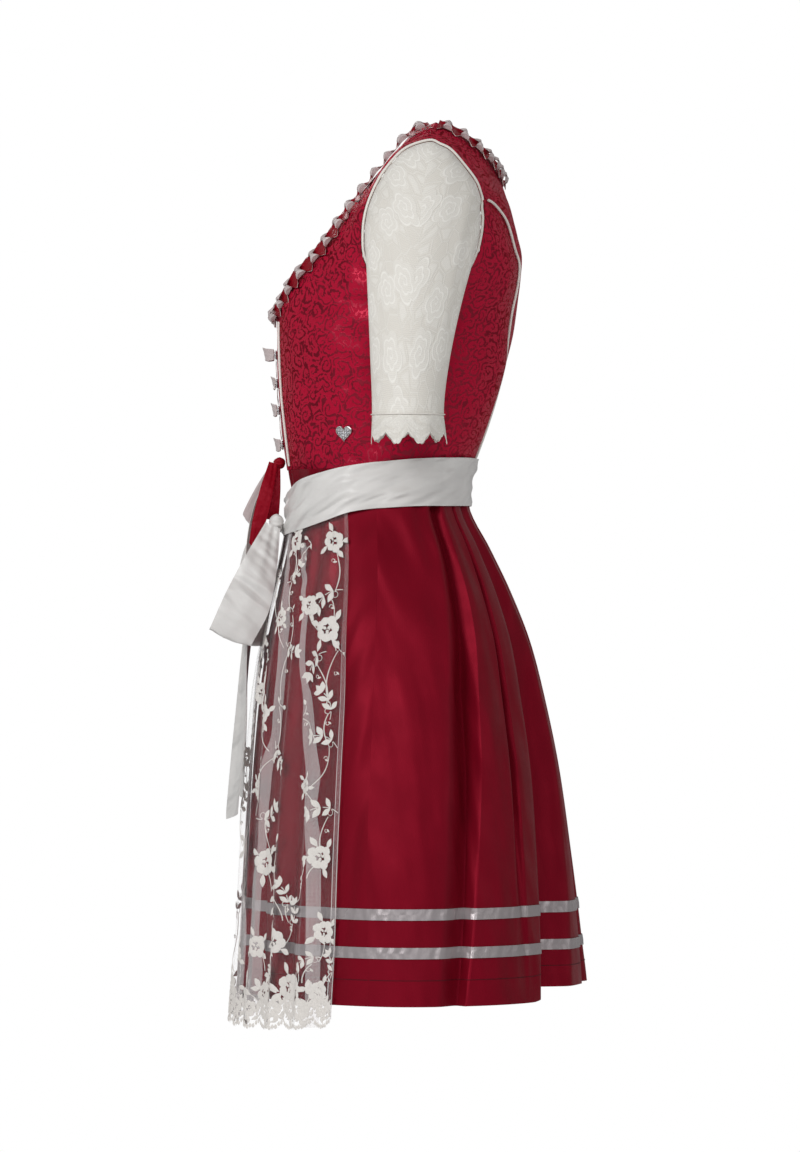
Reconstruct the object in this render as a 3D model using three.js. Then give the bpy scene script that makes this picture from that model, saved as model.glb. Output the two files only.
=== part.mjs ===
// Dirndl, as worn: a laced bodice with pinched ribbon round the neck, lace sleeves, a pleated
// skirt with two hem ribbons, a tulle apron, a satin sash tied in front and a small heart badge.
// Millimetres, +Z up. The front faces -Y and the wearer's left side is +X. The origin lies between
// the shoulders, where the garment is held up. "turn" is the compass direction in plan that the
// cloth faces, in degrees: 0 is the front, 90 the wearer's left and 180 the back.

import * as THREE from 'three';

// ---- driving dimensions ----

const jacquardWall = 1.5;
const skirtWall = 1.4;
const tulleWall = 1.0;
const laceWall = 1.1;
const satinWall = 1.0;
const seamGap = 0.3;
const edgeBevel = 0.4;
const pipingRadius = 1.5;

const waistHeight = -370;
const skirtHem = -950;
const backHemRise = 12;
const apronHem = -978;
const apronEdgeRise = 12;
const sashThickness = 1.6;

const colour = {
  jacquard: 0x8c1530,
  crimson: 0x8b1a2b,
  cream: 0xece6dc,
  lace: 0xe8e4dc,
  white: 0xe4e2de,
  tulle: 0xe8dcdc,
  silver: 0xb9b4b0,
};

// ---- small helpers ----

const vec = (x, y, z) => new THREE.Vector3(x, y, z);
const radians = THREE.MathUtils.degToRad;
const mix = THREE.MathUtils.lerp;
const smooth = (t) => THREE.MathUtils.smoothstep(t, 0, 1);
const bump = (distance) => (Math.abs(distance) < 1 ? 0.5 + 0.5 * Math.cos(Math.PI * distance) : 0);
const bodyMiddle = vec(0, -45, -300);

const dirndl = new THREE.Group();

function addPiece(name, geometry, tint, roughness = 0.6, metalness = 0) {
  const material = new THREE.MeshStandardMaterial({ color: tint, roughness, metalness });
  const mesh = new THREE.Mesh(geometry, material);
  mesh.name = name;
  dirndl.add(mesh);
}

// Turns a list of points and triangles into a closed body whose faces point out.
function body(points, triangles) {
  let volume = 0;
  for (const [a, b, c] of triangles) {
    volume += points[a].dot(points[b].clone().cross(points[c]));
  }
  const indices = triangles.flatMap(([a, b, c]) => (volume > 0 ? [a, b, c] : [a, c, b]));
  const geometry = new THREE.BufferGeometry();
  geometry.setAttribute('position', new THREE.Float32BufferAttribute(points.flatMap((p) => p.toArray()), 3));
  geometry.setIndex(indices);
  geometry.computeVertexNormals();
  return geometry;
}

// The same piece for the wearer's right side.
function mirrored(geometry) {
  const copy = geometry.clone();
  copy.applyMatrix4(new THREE.Matrix4().makeScale(-1, 1, 1));
  const index = Array.from(copy.getIndex().array);
  for (let i = 0; i < index.length; i += 3) {
    [index[i + 1], index[i + 2]] = [index[i + 2], index[i + 1]];
  }
  copy.setIndex(index);
  copy.computeVertexNormals();
  return copy;
}

function addPair(name, geometry, tint, roughness, metalness) {
  addPiece(`${name}_L`, geometry, tint, roughness, metalness);
  addPiece(`${name}_R`, mirrored(geometry), tint, roughness, metalness);
}

// Unit normals of a grid of points, pointing away from a point inside the garment.
function gridNormals(grid, inside, closed) {
  const rows = grid.length;
  const columns = grid[0].length;
  let outward = 0;
  const normals = grid.map((row, i) => row.map((point, j) => {
    const next = closed ? (j + 1) % columns : Math.min(j + 1, columns - 1);
    const previous = closed ? (j + columns - 1) % columns : Math.max(j - 1, 0);
    const across = row[next].clone().sub(row[previous]);
    const along = grid[Math.min(i + 1, rows - 1)][j].clone().sub(grid[Math.max(i - 1, 0)][j]);
    const normal = across.cross(along).normalize();
    outward += normal.dot(point.clone().sub(inside).normalize());
    return normal;
  }));
  if (outward < 0) normals.forEach((row) => row.forEach((normal) => normal.negate()));
  return normals;
}

// A cloth wall: the grid is its outer face, and the inner face lies one thickness behind it, a
// little narrower, so that two walls which meet at an angle stay apart behind their seam.
// A closed wall joins its last column to its first, as a tube does.
function wall(grid, thickness, inside = bodyMiddle, closed = false) {
  const rows = grid.length;
  const columns = grid[0].length;
  const normals = gridNormals(grid, inside, closed);
  const outer = grid.flat();
  const inner = grid.flatMap((row, i) => row.map((point, j) => {
    const behind = point.clone().addScaledVector(normals[i][j], -thickness);
    const neighbours = [];
    if (i === 0) neighbours.push(grid[1][j]);
    if (i === rows - 1) neighbours.push(grid[rows - 2][j]);
    if (!closed && j === 0) neighbours.push(row[1]);
    if (!closed && j === columns - 1) neighbours.push(row[columns - 2]);
    for (const neighbour of neighbours) behind.add(neighbour.clone().sub(point).setLength(edgeBevel));
    return behind;
  }));
  const triangles = [];
  const quad = (a, b, c, d) => triangles.push([a, b, c], [a, c, d]);
  const at = (i, j) => i * columns + (j % columns);
  const back = outer.length;
  const lastColumn = closed ? columns : columns - 1;
  for (let i = 0; i < rows - 1; i++) {
    for (let j = 0; j < lastColumn; j++) {
      quad(at(i, j), at(i, j + 1), at(i + 1, j + 1), at(i + 1, j));
      // Both faces are split along the same diagonal, so that a twisted wall keeps its thickness.
      quad(back + at(i, j), back + at(i + 1, j), back + at(i + 1, j + 1), back + at(i, j + 1));
    }
  }
  for (let j = 0; j < lastColumn; j++) {
    quad(at(0, j + 1), at(0, j), back + at(0, j), back + at(0, j + 1));
    quad(at(rows - 1, j), at(rows - 1, j + 1), back + at(rows - 1, j + 1), back + at(rows - 1, j));
  }
  for (let i = 0; i < rows - 1 && !closed; i++) {
    quad(at(i, 0), at(i + 1, 0), back + at(i + 1, 0), back + at(i, 0));
    quad(at(i + 1, columns - 1), at(i, columns - 1), back + at(i, columns - 1), back + at(i + 1, columns - 1));
  }
  return body([...outer, ...inner], triangles);
}

// A round cord of cloth along a line, closed in a ring or with flat ends.
function tube(line, radius, steps, sides, closed = false) {
  const frames = line.computeFrenetFrames(steps, closed);
  const rings = closed ? steps : steps + 1;
  const points = [];
  for (let i = 0; i < rings; i++) {
    const centre = line.getPointAt(i / steps);
    for (let k = 0; k < sides; k++) {
      const angle = (2 * Math.PI * k) / sides;
      points.push(centre.clone()
        .addScaledVector(frames.normals[i], radius * Math.cos(angle))
        .addScaledVector(frames.binormals[i], radius * Math.sin(angle)));
    }
  }
  const triangles = [];
  const at = (i, k) => (i % rings) * sides + (k % sides);
  for (let i = 0; i < steps; i++) {
    for (let k = 0; k < sides; k++) {
      triangles.push([at(i, k), at(i, k + 1), at(i + 1, k + 1)], [at(i, k), at(i + 1, k + 1), at(i + 1, k)]);
    }
  }
  for (let k = 1; k < sides - 1 && !closed; k++) {
    triangles.push([at(0, 0), at(0, k + 1), at(0, k)]);
    triangles.push([at(steps, 0), at(steps, k), at(steps, k + 1)]);
  }
  return body(points, triangles);
}

// A line through the rows of a table, from its first row at 0 to its last at 1. It is smooth
// but for a break at each row marked as a corner. The facing column gives its turn.
function seam(rows, facing = 'turn') {
  const last = rows.length - 1;
  const breaks = rows.map((row, i) => i).filter((i) => i === 0 || i === last || rows[i].corner);
  const pieces = breaks.slice(1).map((end, k) => {
    const points = rows.slice(breaks[k], end + 1).map((r) => vec(r.x, r.y, r.z));
    return { start: breaks[k], end, line: new THREE.CatmullRomCurve3(points, false, 'catmullrom') };
  });
  const at = (t) => {
    const place = t * last;
    const piece = pieces.find((p) => place <= p.end) ?? pieces.at(-1);
    return piece.line.getPoint((place - piece.start) / (piece.end - piece.start));
  };
  const turnAt = (t) => {
    const row = Math.min(Math.floor(t * last), last - 1);
    const turn = (i) => rows[i][facing] ?? rows[i].turn;
    return mix(turn(row), turn(row + 1), t * last - row);
  };
  return { at, turnAt };
}

// The cloth between two seams: u runs across it, front to back, and v up it.
function panel(front, rear) {
  return (u, v) => {
    const a = front.at(v);
    const b = rear.at(v);
    const pull = 1.1 * Math.hypot(b.x - a.x, b.y - a.y);
    const facingA = radians(front.turnAt(v));
    const facingB = radians(rear.turnAt(v));
    const start = u * u * u - 2 * u * u + u;
    const end = u * u * u - u * u;
    const blend = 3 * u * u - 2 * u * u * u;
    const x = mix(a.x, b.x, blend) + pull * (start * Math.cos(facingA) + end * Math.cos(facingB));
    const y = mix(a.y, b.y, blend) + pull * (start * Math.sin(facingA) + end * Math.sin(facingB));
    return vec(x, y, mix(a.z, b.z, u));
  };
}

const rowWidth = (cloth, v) => cloth(0, v).distanceTo(cloth(0.5, v)) + cloth(0.5, v).distanceTo(cloth(1, v));

// The grid of a panel, half a seam gap short of each of its seams.
function panelGrid(cloth, rows, columns) {
  const grid = [];
  for (let i = 0; i <= rows; i++) {
    const v = mix(0.001, 0.999, i / rows);
    const inset = seamGap / 2 / rowWidth(cloth, v);
    grid.push(Array.from({ length: columns + 1 }, (_, j) => cloth(mix(inset, 1 - inset, j / columns), v)));
  }
  return grid;
}

// ---- bodice: seams, each from the waist up ----

const centreFront = [
  { x: 0, y: -160, z: -370, turn: 0 },
  { x: 0, y: -166, z: -326, turn: 0 },
  { x: 0, y: -169, z: -288, turn: 0 },
  { x: 0, y: -171, z: -252, turn: 0 },
  { x: 0, y: -171, z: -219, turn: 0 },
  { x: 0, y: -171, z: -188, turn: 0 },
];
const frontSeam = [
  { x: 38, y: -155, z: -370, turn: 18 },
  { x: 40, y: -160, z: -327, turn: 17 },
  { x: 42, y: -164, z: -289, turn: 15 },
  { x: 44, y: -166, z: -253, turn: 14 },
  { x: 45, y: -167, z: -217, turn: 14 },
  { x: 45, y: -166.5, z: -186, turn: 15, corner: true },
];
const frontNeckEdge = [
  { x: 65, y: -153, z: -161, turn: 28 },
  { x: 80, y: -126, z: -131, turn: 32 },
  { x: 87, y: -95, z: -89, turn: 16 },
  { x: 90, y: -67, z: -54, turn: -2 },
  { x: 90, y: -40, z: -23, turn: -11 },
  { x: 89, y: -19, z: 1, turn: -10 },
  { x: 87, y: 6, z: 13, turn: -10 },
];
const sideSeam = [
  { x: 135, y: -45, z: -370, turn: 88 },
  { x: 137, y: -42, z: -327, turn: 88 },
  { x: 142, y: -38, z: -289, turn: 88 },
  { x: 149, y: -32, z: -253, turn: 88 },
  { x: 156, y: -24, z: -219, turn: 88 },
  { x: 158, y: -8, z: -190, turn: 90, corner: true },
];
const frontArmhole = [
  { x: 157, y: -43, z: -181, turn: 75 },
  { x: 146, y: -72, z: -147, turn: 56 },
  { x: 139, y: -77, z: -111, turn: 38 },
  { x: 135, y: -71, z: -77, turn: 12 },
  { x: 132, y: -54, z: -43, turn: -5 },
  { x: 131, y: -30, z: -17, turn: -8 },
  { x: 130, y: -2, z: -7, turn: -10 },
];
const sideBackArmhole = [
  { x: 155, y: 28, z: -176, turn: 115 },
  { x: 146, y: 51, z: -139, turn: 128 },
  { x: 141, y: 58, z: -116, turn: 138 },
  { x: 137, y: 60, z: -96, turn: 143 },
  { x: 134, y: 59, z: -83, turn: 148 },
  { x: 132, y: 58, z: -76, turn: 150 },
];
// The back seam faces one way on its side panel and another on its centre panel.
const backSeam = [
  { x: 35, y: 44, z: -370, side: 182, turn: 170 },
  { x: 38, y: 60, z: -327, side: 192, turn: 170 },
  { x: 44, y: 72, z: -289, side: 200, turn: 170 },
  { x: 52, y: 81, z: -253, side: 200, turn: 170 },
  { x: 60, y: 85, z: -222, side: 190, turn: 166 },
  { x: 65, y: 89, z: -195, side: 180, turn: 165 },
  { x: 66, y: 95, z: -167, side: 172, turn: 165 },
  { x: 70, y: 97, z: -144, side: 168, turn: 160 },
  { x: 79, y: 92, z: -127, side: 166, turn: 158 },
  { x: 94, y: 83, z: -98, side: 162, turn: 156 },
  { x: 113, y: 70, z: -81, side: 156, turn: 158, corner: true },
];
const backSeamEnd = [{ x: 128, y: 60.5, z: -75, turn: 150 }];
const backArmhole = [
  { x: 129, y: 59.5, z: -72, turn: 162 },
  { x: 133, y: 53, z: -54, turn: 165 },
  { x: 132, y: 40, z: -36, turn: 165 },
  { x: 131, y: 24, z: -18, turn: 162 },
  { x: 130.5, y: 11, z: -11, turn: 168 },
  { x: 130, y: -2, z: -7, turn: 170 },
];
const centreBack = [
  { x: 0, y: 44, z: -370, turn: 180 },
  { x: 0, y: 61, z: -327, turn: 180 },
  { x: 0, y: 74, z: -288, turn: 180 },
  { x: 0, y: 85, z: -251, turn: 180 },
  { x: 0, y: 93, z: -217, turn: 180 },
  { x: 0, y: 98, z: -184, turn: 180 },
  { x: 0, y: 101, z: -152, turn: 180 },
  { x: 0, y: 100, z: -120, turn: 180 },
  { x: 0, y: 94, z: -92, turn: 180 },
  { x: 0, y: 84, z: -60, turn: 180 },
  { x: 0, y: 75, z: -34, turn: 180, corner: true },
];
const backNeckEdge = [
  { x: 32, y: 71, z: -31, turn: 180 },
  { x: 56, y: 63, z: -23, turn: 180 },
  { x: 72, y: 51, z: -12, turn: 176 },
  { x: 82, y: 36, z: -1, turn: 168 },
  { x: 86, y: 20, z: 7, turn: 171 },
  { x: 87, y: 6, z: 13, turn: 170 },
];

const frontCentreCloth = panel(seam(centreFront), seam(frontSeam));
const frontCloth = panel(seam([...frontSeam, ...frontNeckEdge]), seam([...sideSeam, ...frontArmhole]));
const sideBackCloth = panel(seam([...sideSeam, ...sideBackArmhole]), seam([...backSeam, ...backSeamEnd], 'side'));
const backCloth = panel(seam([...backSeam, ...backArmhole]), seam([...centreBack, ...backNeckEdge]));

addPair('bodice_front_centre', wall(panelGrid(frontCentreCloth, 5, 3), jacquardWall), colour.jacquard);
addPair('bodice_front', wall(panelGrid(frontCloth, 12, 7), jacquardWall), colour.jacquard);
addPair('bodice_side_back', wall(panelGrid(sideBackCloth, 11, 5), jacquardWall), colour.jacquard);
addPair('bodice_back', wall(panelGrid(backCloth, 16, 4), jacquardWall), colour.jacquard);

// ---- piping: cream cords on the front and back seams and round each armhole ----

// Points on a panel edge, moved out so that the cord lies just on the cloth of both panels.
function seamCord(cloth, u, from, to, steps, lift) {
  const points = [];
  for (let i = 0; i <= steps; i++) {
    const v = mix(from, to, i / steps);
    const point = cloth(u, v);
    const across = cloth(u + 0.02, v).sub(cloth(u - 0.02, v));
    const along = cloth(u, Math.min(v + 0.01, 1)).sub(cloth(u, Math.max(v - 0.01, 0)));
    const normal = across.cross(along).normalize();
    if (normal.dot(point.clone().sub(bodyMiddle)) < 0) normal.negate();
    points.push(point.addScaledVector(normal, lift));
  }
  return points;
}

const cordLift = pipingRadius + 0.8;
const frontCordLine = seamCord(frontCentreCloth, 1, 0.02, 0.87, 10, cordLift);
const backCordLine = seamCord(sideBackCloth, 1, 0.03, 0.905, 16, cordLift);
addPair('piping_front', tube(new THREE.CatmullRomCurve3(frontCordLine), pipingRadius, 8, 5), colour.cream, 0.4);
addPair('piping_back', tube(new THREE.CatmullRomCurve3(backCordLine), pipingRadius, 16, 5), colour.cream, 0.4);

// The armhole as one closed line: shoulder, back, underarm, front. Everything set into it is the
// same line drawn in towards its middle.
const armholeEdge = [
  ...backArmhole.slice().reverse(),
  ...sideBackArmhole.slice(0, 5).reverse(),
  sideSeam.at(-1),
  ...frontArmhole.slice(0, -1),
].map((r) => vec(r.x, r.y, r.z));
const armholeMiddle = vec(140, -6, -96);

const straightSides = 0;

function armholeRing(inset, underarmOutset) {
  return new THREE.CatmullRomCurve3(armholeEdge.map((point) => {
    const inwards = vec(0, armholeMiddle.y - point.y, armholeMiddle.z - point.z).setLength(inset);
    const low = smooth((armholeMiddle.z - point.z) / 80);
    return point.clone().add(inwards).add(vec(underarmOutset * low, 0, 0));
  }), true, 'catmullrom', straightSides);
}

const armholeCordInset = pipingRadius + 1.3;
addPair('piping_armhole', tube(armholeRing(armholeCordInset, 0), pipingRadius, 34, 5, true), colour.cream, 0.4);

// ---- sleeves: lace tubes from the armholes to the middle of the upper arm ----

const sleeveColumns = 20;
const sleeveRows = 8;
const cuff = { x: 197, y: -25, z: -314, reach: 41, depth: 39 };
const scallops = 10;
const edgingLength = 20;
const scallopDepth = 12;
const sleeveInset = armholeCordInset + pipingRadius + 0.6;
const sleeveTop = armholeRing(sleeveInset, 4);

// Round the arm: 0 is its outer side, 0.25 the back, 0.5 towards the body and 0.75 the front.
const cuffPoint = (around, drop, flare) => vec(
  cuff.x + (cuff.reach + flare) * Math.cos(2 * Math.PI * around),
  cuff.y + (cuff.depth + flare) * Math.sin(2 * Math.PI * around),
  cuff.z - drop,
);

function sleevePoint(around, down) {
  const start = sleeveTop.getPointAt(around);
  const end = cuffPoint(around, 0, 0);
  const outer = 0.5 + 0.5 * Math.cos(2 * Math.PI * around);
  const startPull = vec(mix(90, 165, outer), 0, mix(0, -10, outer));
  const endPull = vec(0, 0, -mix(120, 330, outer));
  const t = down;
  return start.clone().multiplyScalar(2 * t ** 3 - 3 * t ** 2 + 1)
    .addScaledVector(startPull, t ** 3 - 2 * t ** 2 + t)
    .addScaledVector(end, 3 * t ** 2 - 2 * t ** 3)
    .addScaledVector(endPull, t ** 3 - t ** 2);
}

const sleeveGrid = Array.from({ length: sleeveRows + 1 }, (_, i) => (
  Array.from({ length: sleeveColumns }, (__, j) => sleevePoint(j / sleeveColumns, i / sleeveRows))
));
const insideSleeve = vec(180, -20, -180);
addPair('sleeve', wall(sleeveGrid, laceWall, insideSleeve, true), colour.lace, 0.8);

const edgingColumns = scallops * 4;
const edgingGrid = [0, 1].map((drop) => Array.from({ length: edgingColumns }, (_, j) => {
  const around = j / edgingColumns;
  const tip = Math.abs(Math.sin(Math.PI * scallops * around));
  return cuffPoint(around, seamGap + drop * (edgingLength + scallopDepth * tip), 2.5 * drop);
}));
addPair('sleeve_edging', wall(edgingGrid, laceWall, vec(cuff.x, cuff.y, cuff.z - 15), true), colour.lace, 0.8);

// ---- neck ribbon: one satin band along the whole neck edge, pinched once in each period ----

const ribbonWidth = 25;
const ribbonFromEdge = 8;
const pinchSteps = 4;
const ribbonLift = 1.9;
const mouthHeight = 6.5;

// Points and facings of the cloth at a fixed distance below its neck edge.
function beneathNeck(cloth, edge, rows) {
  return rows.map((v) => {
    const u = edge === 'front' ? ribbonFromEdge / rowWidth(cloth, v) : 1 - ribbonFromEdge / rowWidth(cloth, v);
    const point = cloth(u, v);
    const across = cloth(u + 0.02, v).sub(cloth(u - 0.02, v));
    const along = cloth(u, Math.min(v + 0.01, 1)).sub(cloth(u, v - 0.01));
    const normal = across.cross(along).normalize();
    if (normal.dot(point.clone().sub(bodyMiddle)) < 0) normal.negate();
    return { point, normal };
  });
}

const steps = (from, to, count) => Array.from({ length: count + 1 }, (_, i) => mix(from, to, i / count));

// The ribbon as a band along a line of points and facings. Its two edges lift and draw together
// between the pinches, so that each period opens as a small mouth.
function pinchedRibbon(route, periods) {
  const line = new THREE.CatmullRomCurve3(route.map((r) => r.point));
  const facings = new THREE.CatmullRomCurve3(route.map((r) => r.normal));
  const lengthSteps = periods * pinchSteps;
  const across = [-1, 0, 1];
  return across.map((side) => steps(0, 1, lengthSteps).map((t, i) => {
    const facing = facings.getPoint(line.getUtoTmapping(t)).normalize();
    const sideways = line.getTangentAt(t).cross(facing).normalize();
    const open = 0.5 - 0.5 * Math.cos((2 * Math.PI * i) / pinchSteps);
    const edge = Math.abs(side) === 1;
    const reach = (ribbonWidth / 2) * side * (edge ? mix(1, 0.82, open) : 1);
    const lift = ribbonLift + (edge ? mix(0.3, mouthHeight, open) : mix(0.3, 1.4, open));
    return line.getPointAt(t).addScaledVector(sideways, reach).addScaledVector(facing, lift);
  }));
}

const firstNeckRow = frontSeam.length / (frontSeam.length + frontNeckEdge.length - 1);
const lowerFront = steps(0.04, 0.8, 3).map((u) => ({
  point: frontCentreCloth(u, 0.94).add(vec(0, -0.5, 0)),
  normal: vec(Math.sin(radians(15 * u)), -Math.cos(radians(15 * u)), 0),
}));
const frontRibbonRoute = [...lowerFront, ...beneathNeck(frontCloth, 'front', steps(firstNeckRow, 0.985, 9))];
const lastNeckRow = centreBack.length / (centreBack.length + backNeckEdge.length - 1);
const backRibbonRoute = [
  { point: vec(1.4, 78, -44), normal: vec(0, 0.95, 0.35) },
  { point: vec(14, 77, -43.5), normal: vec(0, 0.95, 0.35) },
  ...beneathNeck(backCloth, 'rear', steps(lastNeckRow, 0.985, 7)),
];
const insideNeck = vec(0, -40, -120);
addPair('ruching_front', wall(pinchedRibbon(frontRibbonRoute, 14), satinWall, insideNeck), colour.crimson, 0.4);
addPair('ruching_back', wall(pinchedRibbon(backRibbonRoute, 7), satinWall, insideNeck), colour.crimson, 0.4);

// ---- skirt: rings from waist to hem, with the folds as valleys that widen downwards ----

const skirtRings = [
  { z: -345, front: -161, back: 59, half: 137, power: 2.5 },
  { z: -370, front: -159, back: 47, half: 136, power: 2.5 },
  { z: -411, front: -153, back: 44, half: 139, power: 2.4 },
  { z: -457, front: -160, back: 67, half: 160, power: 2.3 },
  { z: -504, front: -171, back: 90, half: 182, power: 2.2 },
  { z: -558, front: -183, back: 112, half: 204, power: 2.1 },
  { z: -616, front: -191, back: 128, half: 222, power: 2 },
  { z: -701, front: -198, back: 146, half: 244, power: 2 },
  { z: -801, front: -203, back: 160, half: 264, power: 2 },
  { z: -885, front: -206, back: 170, half: 277, power: 2 },
  { z: -950, front: -210, back: 176, half: 286, power: 2 },
  { z: -995, front: -213, back: 180, half: 292, power: 2 },
];

function ringAt(z) {
  const lower = Math.max(1, skirtRings.findIndex((ring) => ring.z <= z));
  const [a, b] = [skirtRings[lower - 1], skirtRings[lower]];
  const between = (column) => mix(a[column], b[column], (a.z - z) / (a.z - b.z));
  return { front: between('front'), back: between('back'), half: between('half'), power: between('power') };
}

// Where each fold line runs: its turn at the waist, at the hip and at the hem. The cloth between
// two lines is spread evenly, so the folds follow the columns of the skirt's grid.
const hipHeight = -616;
const foldLines = [
  { waist: 0, hip: 0, hem: 0 },
  { waist: 28, hip: 26, hem: 24 },
  { waist: 52, hip: 46, hem: 42 },
  { waist: 74, hip: 68, hem: 63 },
  { waist: 91, hip: 79, hem: 75 },
  { waist: 130, hip: 122, hem: 107 },
  { waist: 144, hip: 138, hem: 131 },
  { waist: 158, hip: 157, hem: 144 },
  { waist: 169, hip: 171, hem: 166 },
  { waist: 180, hip: 180, hem: 180 },
];

function turnDown(hemTurn, z) {
  const place = Math.abs(hemTurn);
  const k = Math.max(1, foldLines.findIndex((line) => line.hem >= place));
  const [a, b] = [foldLines[k - 1], foldLines[k]];
  const t = (place - a.hem) / (b.hem - a.hem);
  const waist = mix(a.waist, b.waist, t);
  const hip = mix(a.hip, b.hip, t);
  const drop = (z - waistHeight) / (skirtHem - waistHeight);
  const hipDrop = (hipHeight - waistHeight) / (skirtHem - waistHeight);
  const straight = mix(waist, place, drop);
  const bend = (hip - mix(waist, place, hipDrop)) / (hipDrop * (1 - hipDrop));
  return Math.sign(hemTurn) * (straight + bend * drop * (1 - drop));
}

// Valleys in the skirt: where they run at the hem, how wide to each side, how deep they are at the
// waist, the hip and the hem, and, where a pleat's edge stands behind one, the part of that width
// which lies behind it.
const valleys = [
  { turn: 0, spread: 6, waist: 1, hip: 4, hem: 9 },
  { turn: 12, spread: 5, waist: 2, hip: 5, hem: 10 },
  { turn: 24, spread: 6, waist: 2, hip: 7, hem: 13 },
  { turn: 42, spread: 6, waist: 2, hip: 6, hem: 12 },
  { turn: 56, spread: 5, waist: 1, hip: 3, hem: 6 },
  { turn: 105, spread: 8, waist: 4, hip: 16, hem: 9, behind: 0.25 },
  { turn: 128, spread: 4, waist: 3, hip: 10, hem: 0, behind: 0.5 },
  { turn: 144, spread: 9.5, waist: 2, hip: 20, hem: 40 },
  { turn: 166, spread: 5, waist: 2, hip: 7, hem: 10 },
  { turn: 180, spread: 6, waist: 2, hip: 12, hem: 28 },
];

function valleyDepth(hemTurn, z) {
  const drop = (z - waistHeight) / (skirtHem - waistHeight);
  const hipDrop = (hipHeight - waistHeight) / (skirtHem - waistHeight);
  return valleys.reduce((depth, fold) => {
    const away = Math.abs(hemTurn) - fold.turn;
    const shape = bump(away / (away > 0 ? fold.spread * (fold.behind ?? 1) : fold.spread));
    const size = drop < hipDrop
      ? mix(fold.waist, fold.hip, drop / hipDrop)
      : mix(fold.hip, fold.hem, (drop - hipDrop) / (1 - hipDrop));
    return depth + shape * Math.max(size, 0);
  }, 0);
}

// A point on the skirt's rings, moved out from them in plan.
function ringPoint(turn, z, out) {
  const { front, back, half, power } = ringAt(z);
  const middle = (front + back) / 2;
  const deep = (back - front) / 2;
  const sine = Math.sin(radians(turn));
  const cosine = Math.cos(radians(turn));
  const x = Math.sign(sine) * Math.abs(sine) ** (2 / power);
  const y = -Math.sign(cosine) * Math.abs(cosine) ** (2 / power);
  const steepX = (Math.sign(x) * Math.abs(x) ** (power - 1)) / half;
  const steepY = (Math.sign(y) * Math.abs(y) ** (power - 1)) / deep;
  return vec(half * x, middle + deep * y, z).addScaledVector(vec(steepX, steepY, 0).normalize(), out);
}

function skirtPoint(hemTurn, z, out) {
  const point = ringPoint(turnDown(hemTurn, z), z, out - valleyDepth(hemTurn, z));
  if (z === skirtHem) point.z += backHemRise * smooth((Math.abs(hemTurn) - 131) / 16);
  return point;
}

// Columns of the skirt's grid, from centre front to centre back: five to each valley, and others
// between them where the cloth is plain.
const sideSeamTurn = 75;
const closestTurns = 1.9;
const widestTurns = 7;
function skirtTurns() {
  const fixed = [0, sideSeamTurn, 180];
  const wanted = valleys.flatMap((fold) => [-1, -0.5, 0, 0.5, 1].map((side) => (
    fold.turn + side * fold.spread * (side > 0 ? fold.behind ?? 1 : 1))))
    .filter((turn) => turn > 0 && turn < 180)
    .sort((a, b) => a - b);
  const kept = [...fixed];
  for (const turn of wanted) {
    if (kept.every((other) => Math.abs(other - turn) >= closestTurns)) kept.push(turn);
  }
  kept.sort((a, b) => a - b);
  return kept.flatMap((turn, i) => {
    const next = kept[i + 1] ?? turn;
    const extra = Math.max(1, Math.ceil((next - turn) / widestTurns));
    return Array.from({ length: extra }, (_, k) => mix(turn, next, k / extra));
  });
}
const halfTurns = skirtTurns();
const skirtHeights = [waistHeight - seamGap, -411, -470, -540, -640, -780, -872, skirtHem];

// One panel of the skirt, between two of its turns, half a seam gap short of each.
function skirtPanel(fromTurn, toTurn) {
  const both = [...halfTurns.slice(1).map((turn) => -turn).reverse(), ...halfTurns];
  const turns = both.filter((turn) => turn >= fromTurn && turn <= toTurn);
  const inset = 0.06;
  turns[0] += inset;
  turns[turns.length - 1] -= inset;
  return skirtHeights.map((z) => turns.map((turn) => skirtPoint(turn, z, 0)));
}

addPiece('skirt_front', wall(skirtPanel(-sideSeamTurn, sideSeamTurn), skirtWall), colour.crimson, 0.45);
addPair('skirt_back', wall(skirtPanel(sideSeamTurn, 180), skirtWall), colour.crimson, 0.45);

// ---- two satin ribbons sewn round the skirt above its hem ----

const hemRibbonWidth = 12;
const hemRibbonHeights = { upper: -852, lower: -893 };
const hemRibbonLift = 1.6;
const hemRibbonWall = 0.7;

// A point just off the flat cloth between two of the skirt's rows.
function offSkirt(turn, z, out) {
  const row = skirtHeights.findIndex((height) => height <= z);
  const [upper, lower] = [skirtHeights[row - 1], skirtHeights[row]];
  return skirtPoint(turn, upper, out).lerp(skirtPoint(turn, lower, out), (upper - z) / (upper - lower));
}

for (const [place, z] of Object.entries(hemRibbonHeights)) {
  const turns = [...halfTurns.slice(1, -1).map((turn) => -turn).reverse(), ...halfTurns];
  const grid = [z - hemRibbonWidth / 2, z + hemRibbonWidth / 2].map((height) => (
    turns.map((turn) => offSkirt(turn, height, hemRibbonLift))
  ));
  addPiece(`hem_ribbon_${place}`, wall(grid, hemRibbonWall, bodyMiddle, true), colour.silver, 0.35);
}

// ---- apron: gathered tulle over the front of the skirt, with a scalloped lower edge ----

const apronEdgeTurn = 63;
const apronLift = 3.7;
const apronScallops = 20;
const apronScallopDepth = 9;
const apronFolds = [
  { turn: -55, spread: 5, hip: 5, hem: 11 },
  { turn: -39, spread: 4, hip: 4, hem: 9 },
  { turn: -26, spread: 4.5, hip: 5, hem: 10 },
  { turn: -12, spread: 4, hip: 4, hem: 9 },
  { turn: 2, spread: 5, hip: 5, hem: 9 },
  { turn: 15, spread: 4, hip: 4, hem: 8 },
  { turn: 27, spread: 4.5, hip: 6, hem: 10 },
  { turn: 40, spread: 4, hip: 5, hem: 9 },
  { turn: 53, spread: 5, hip: 6, hem: 12 },
];

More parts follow.
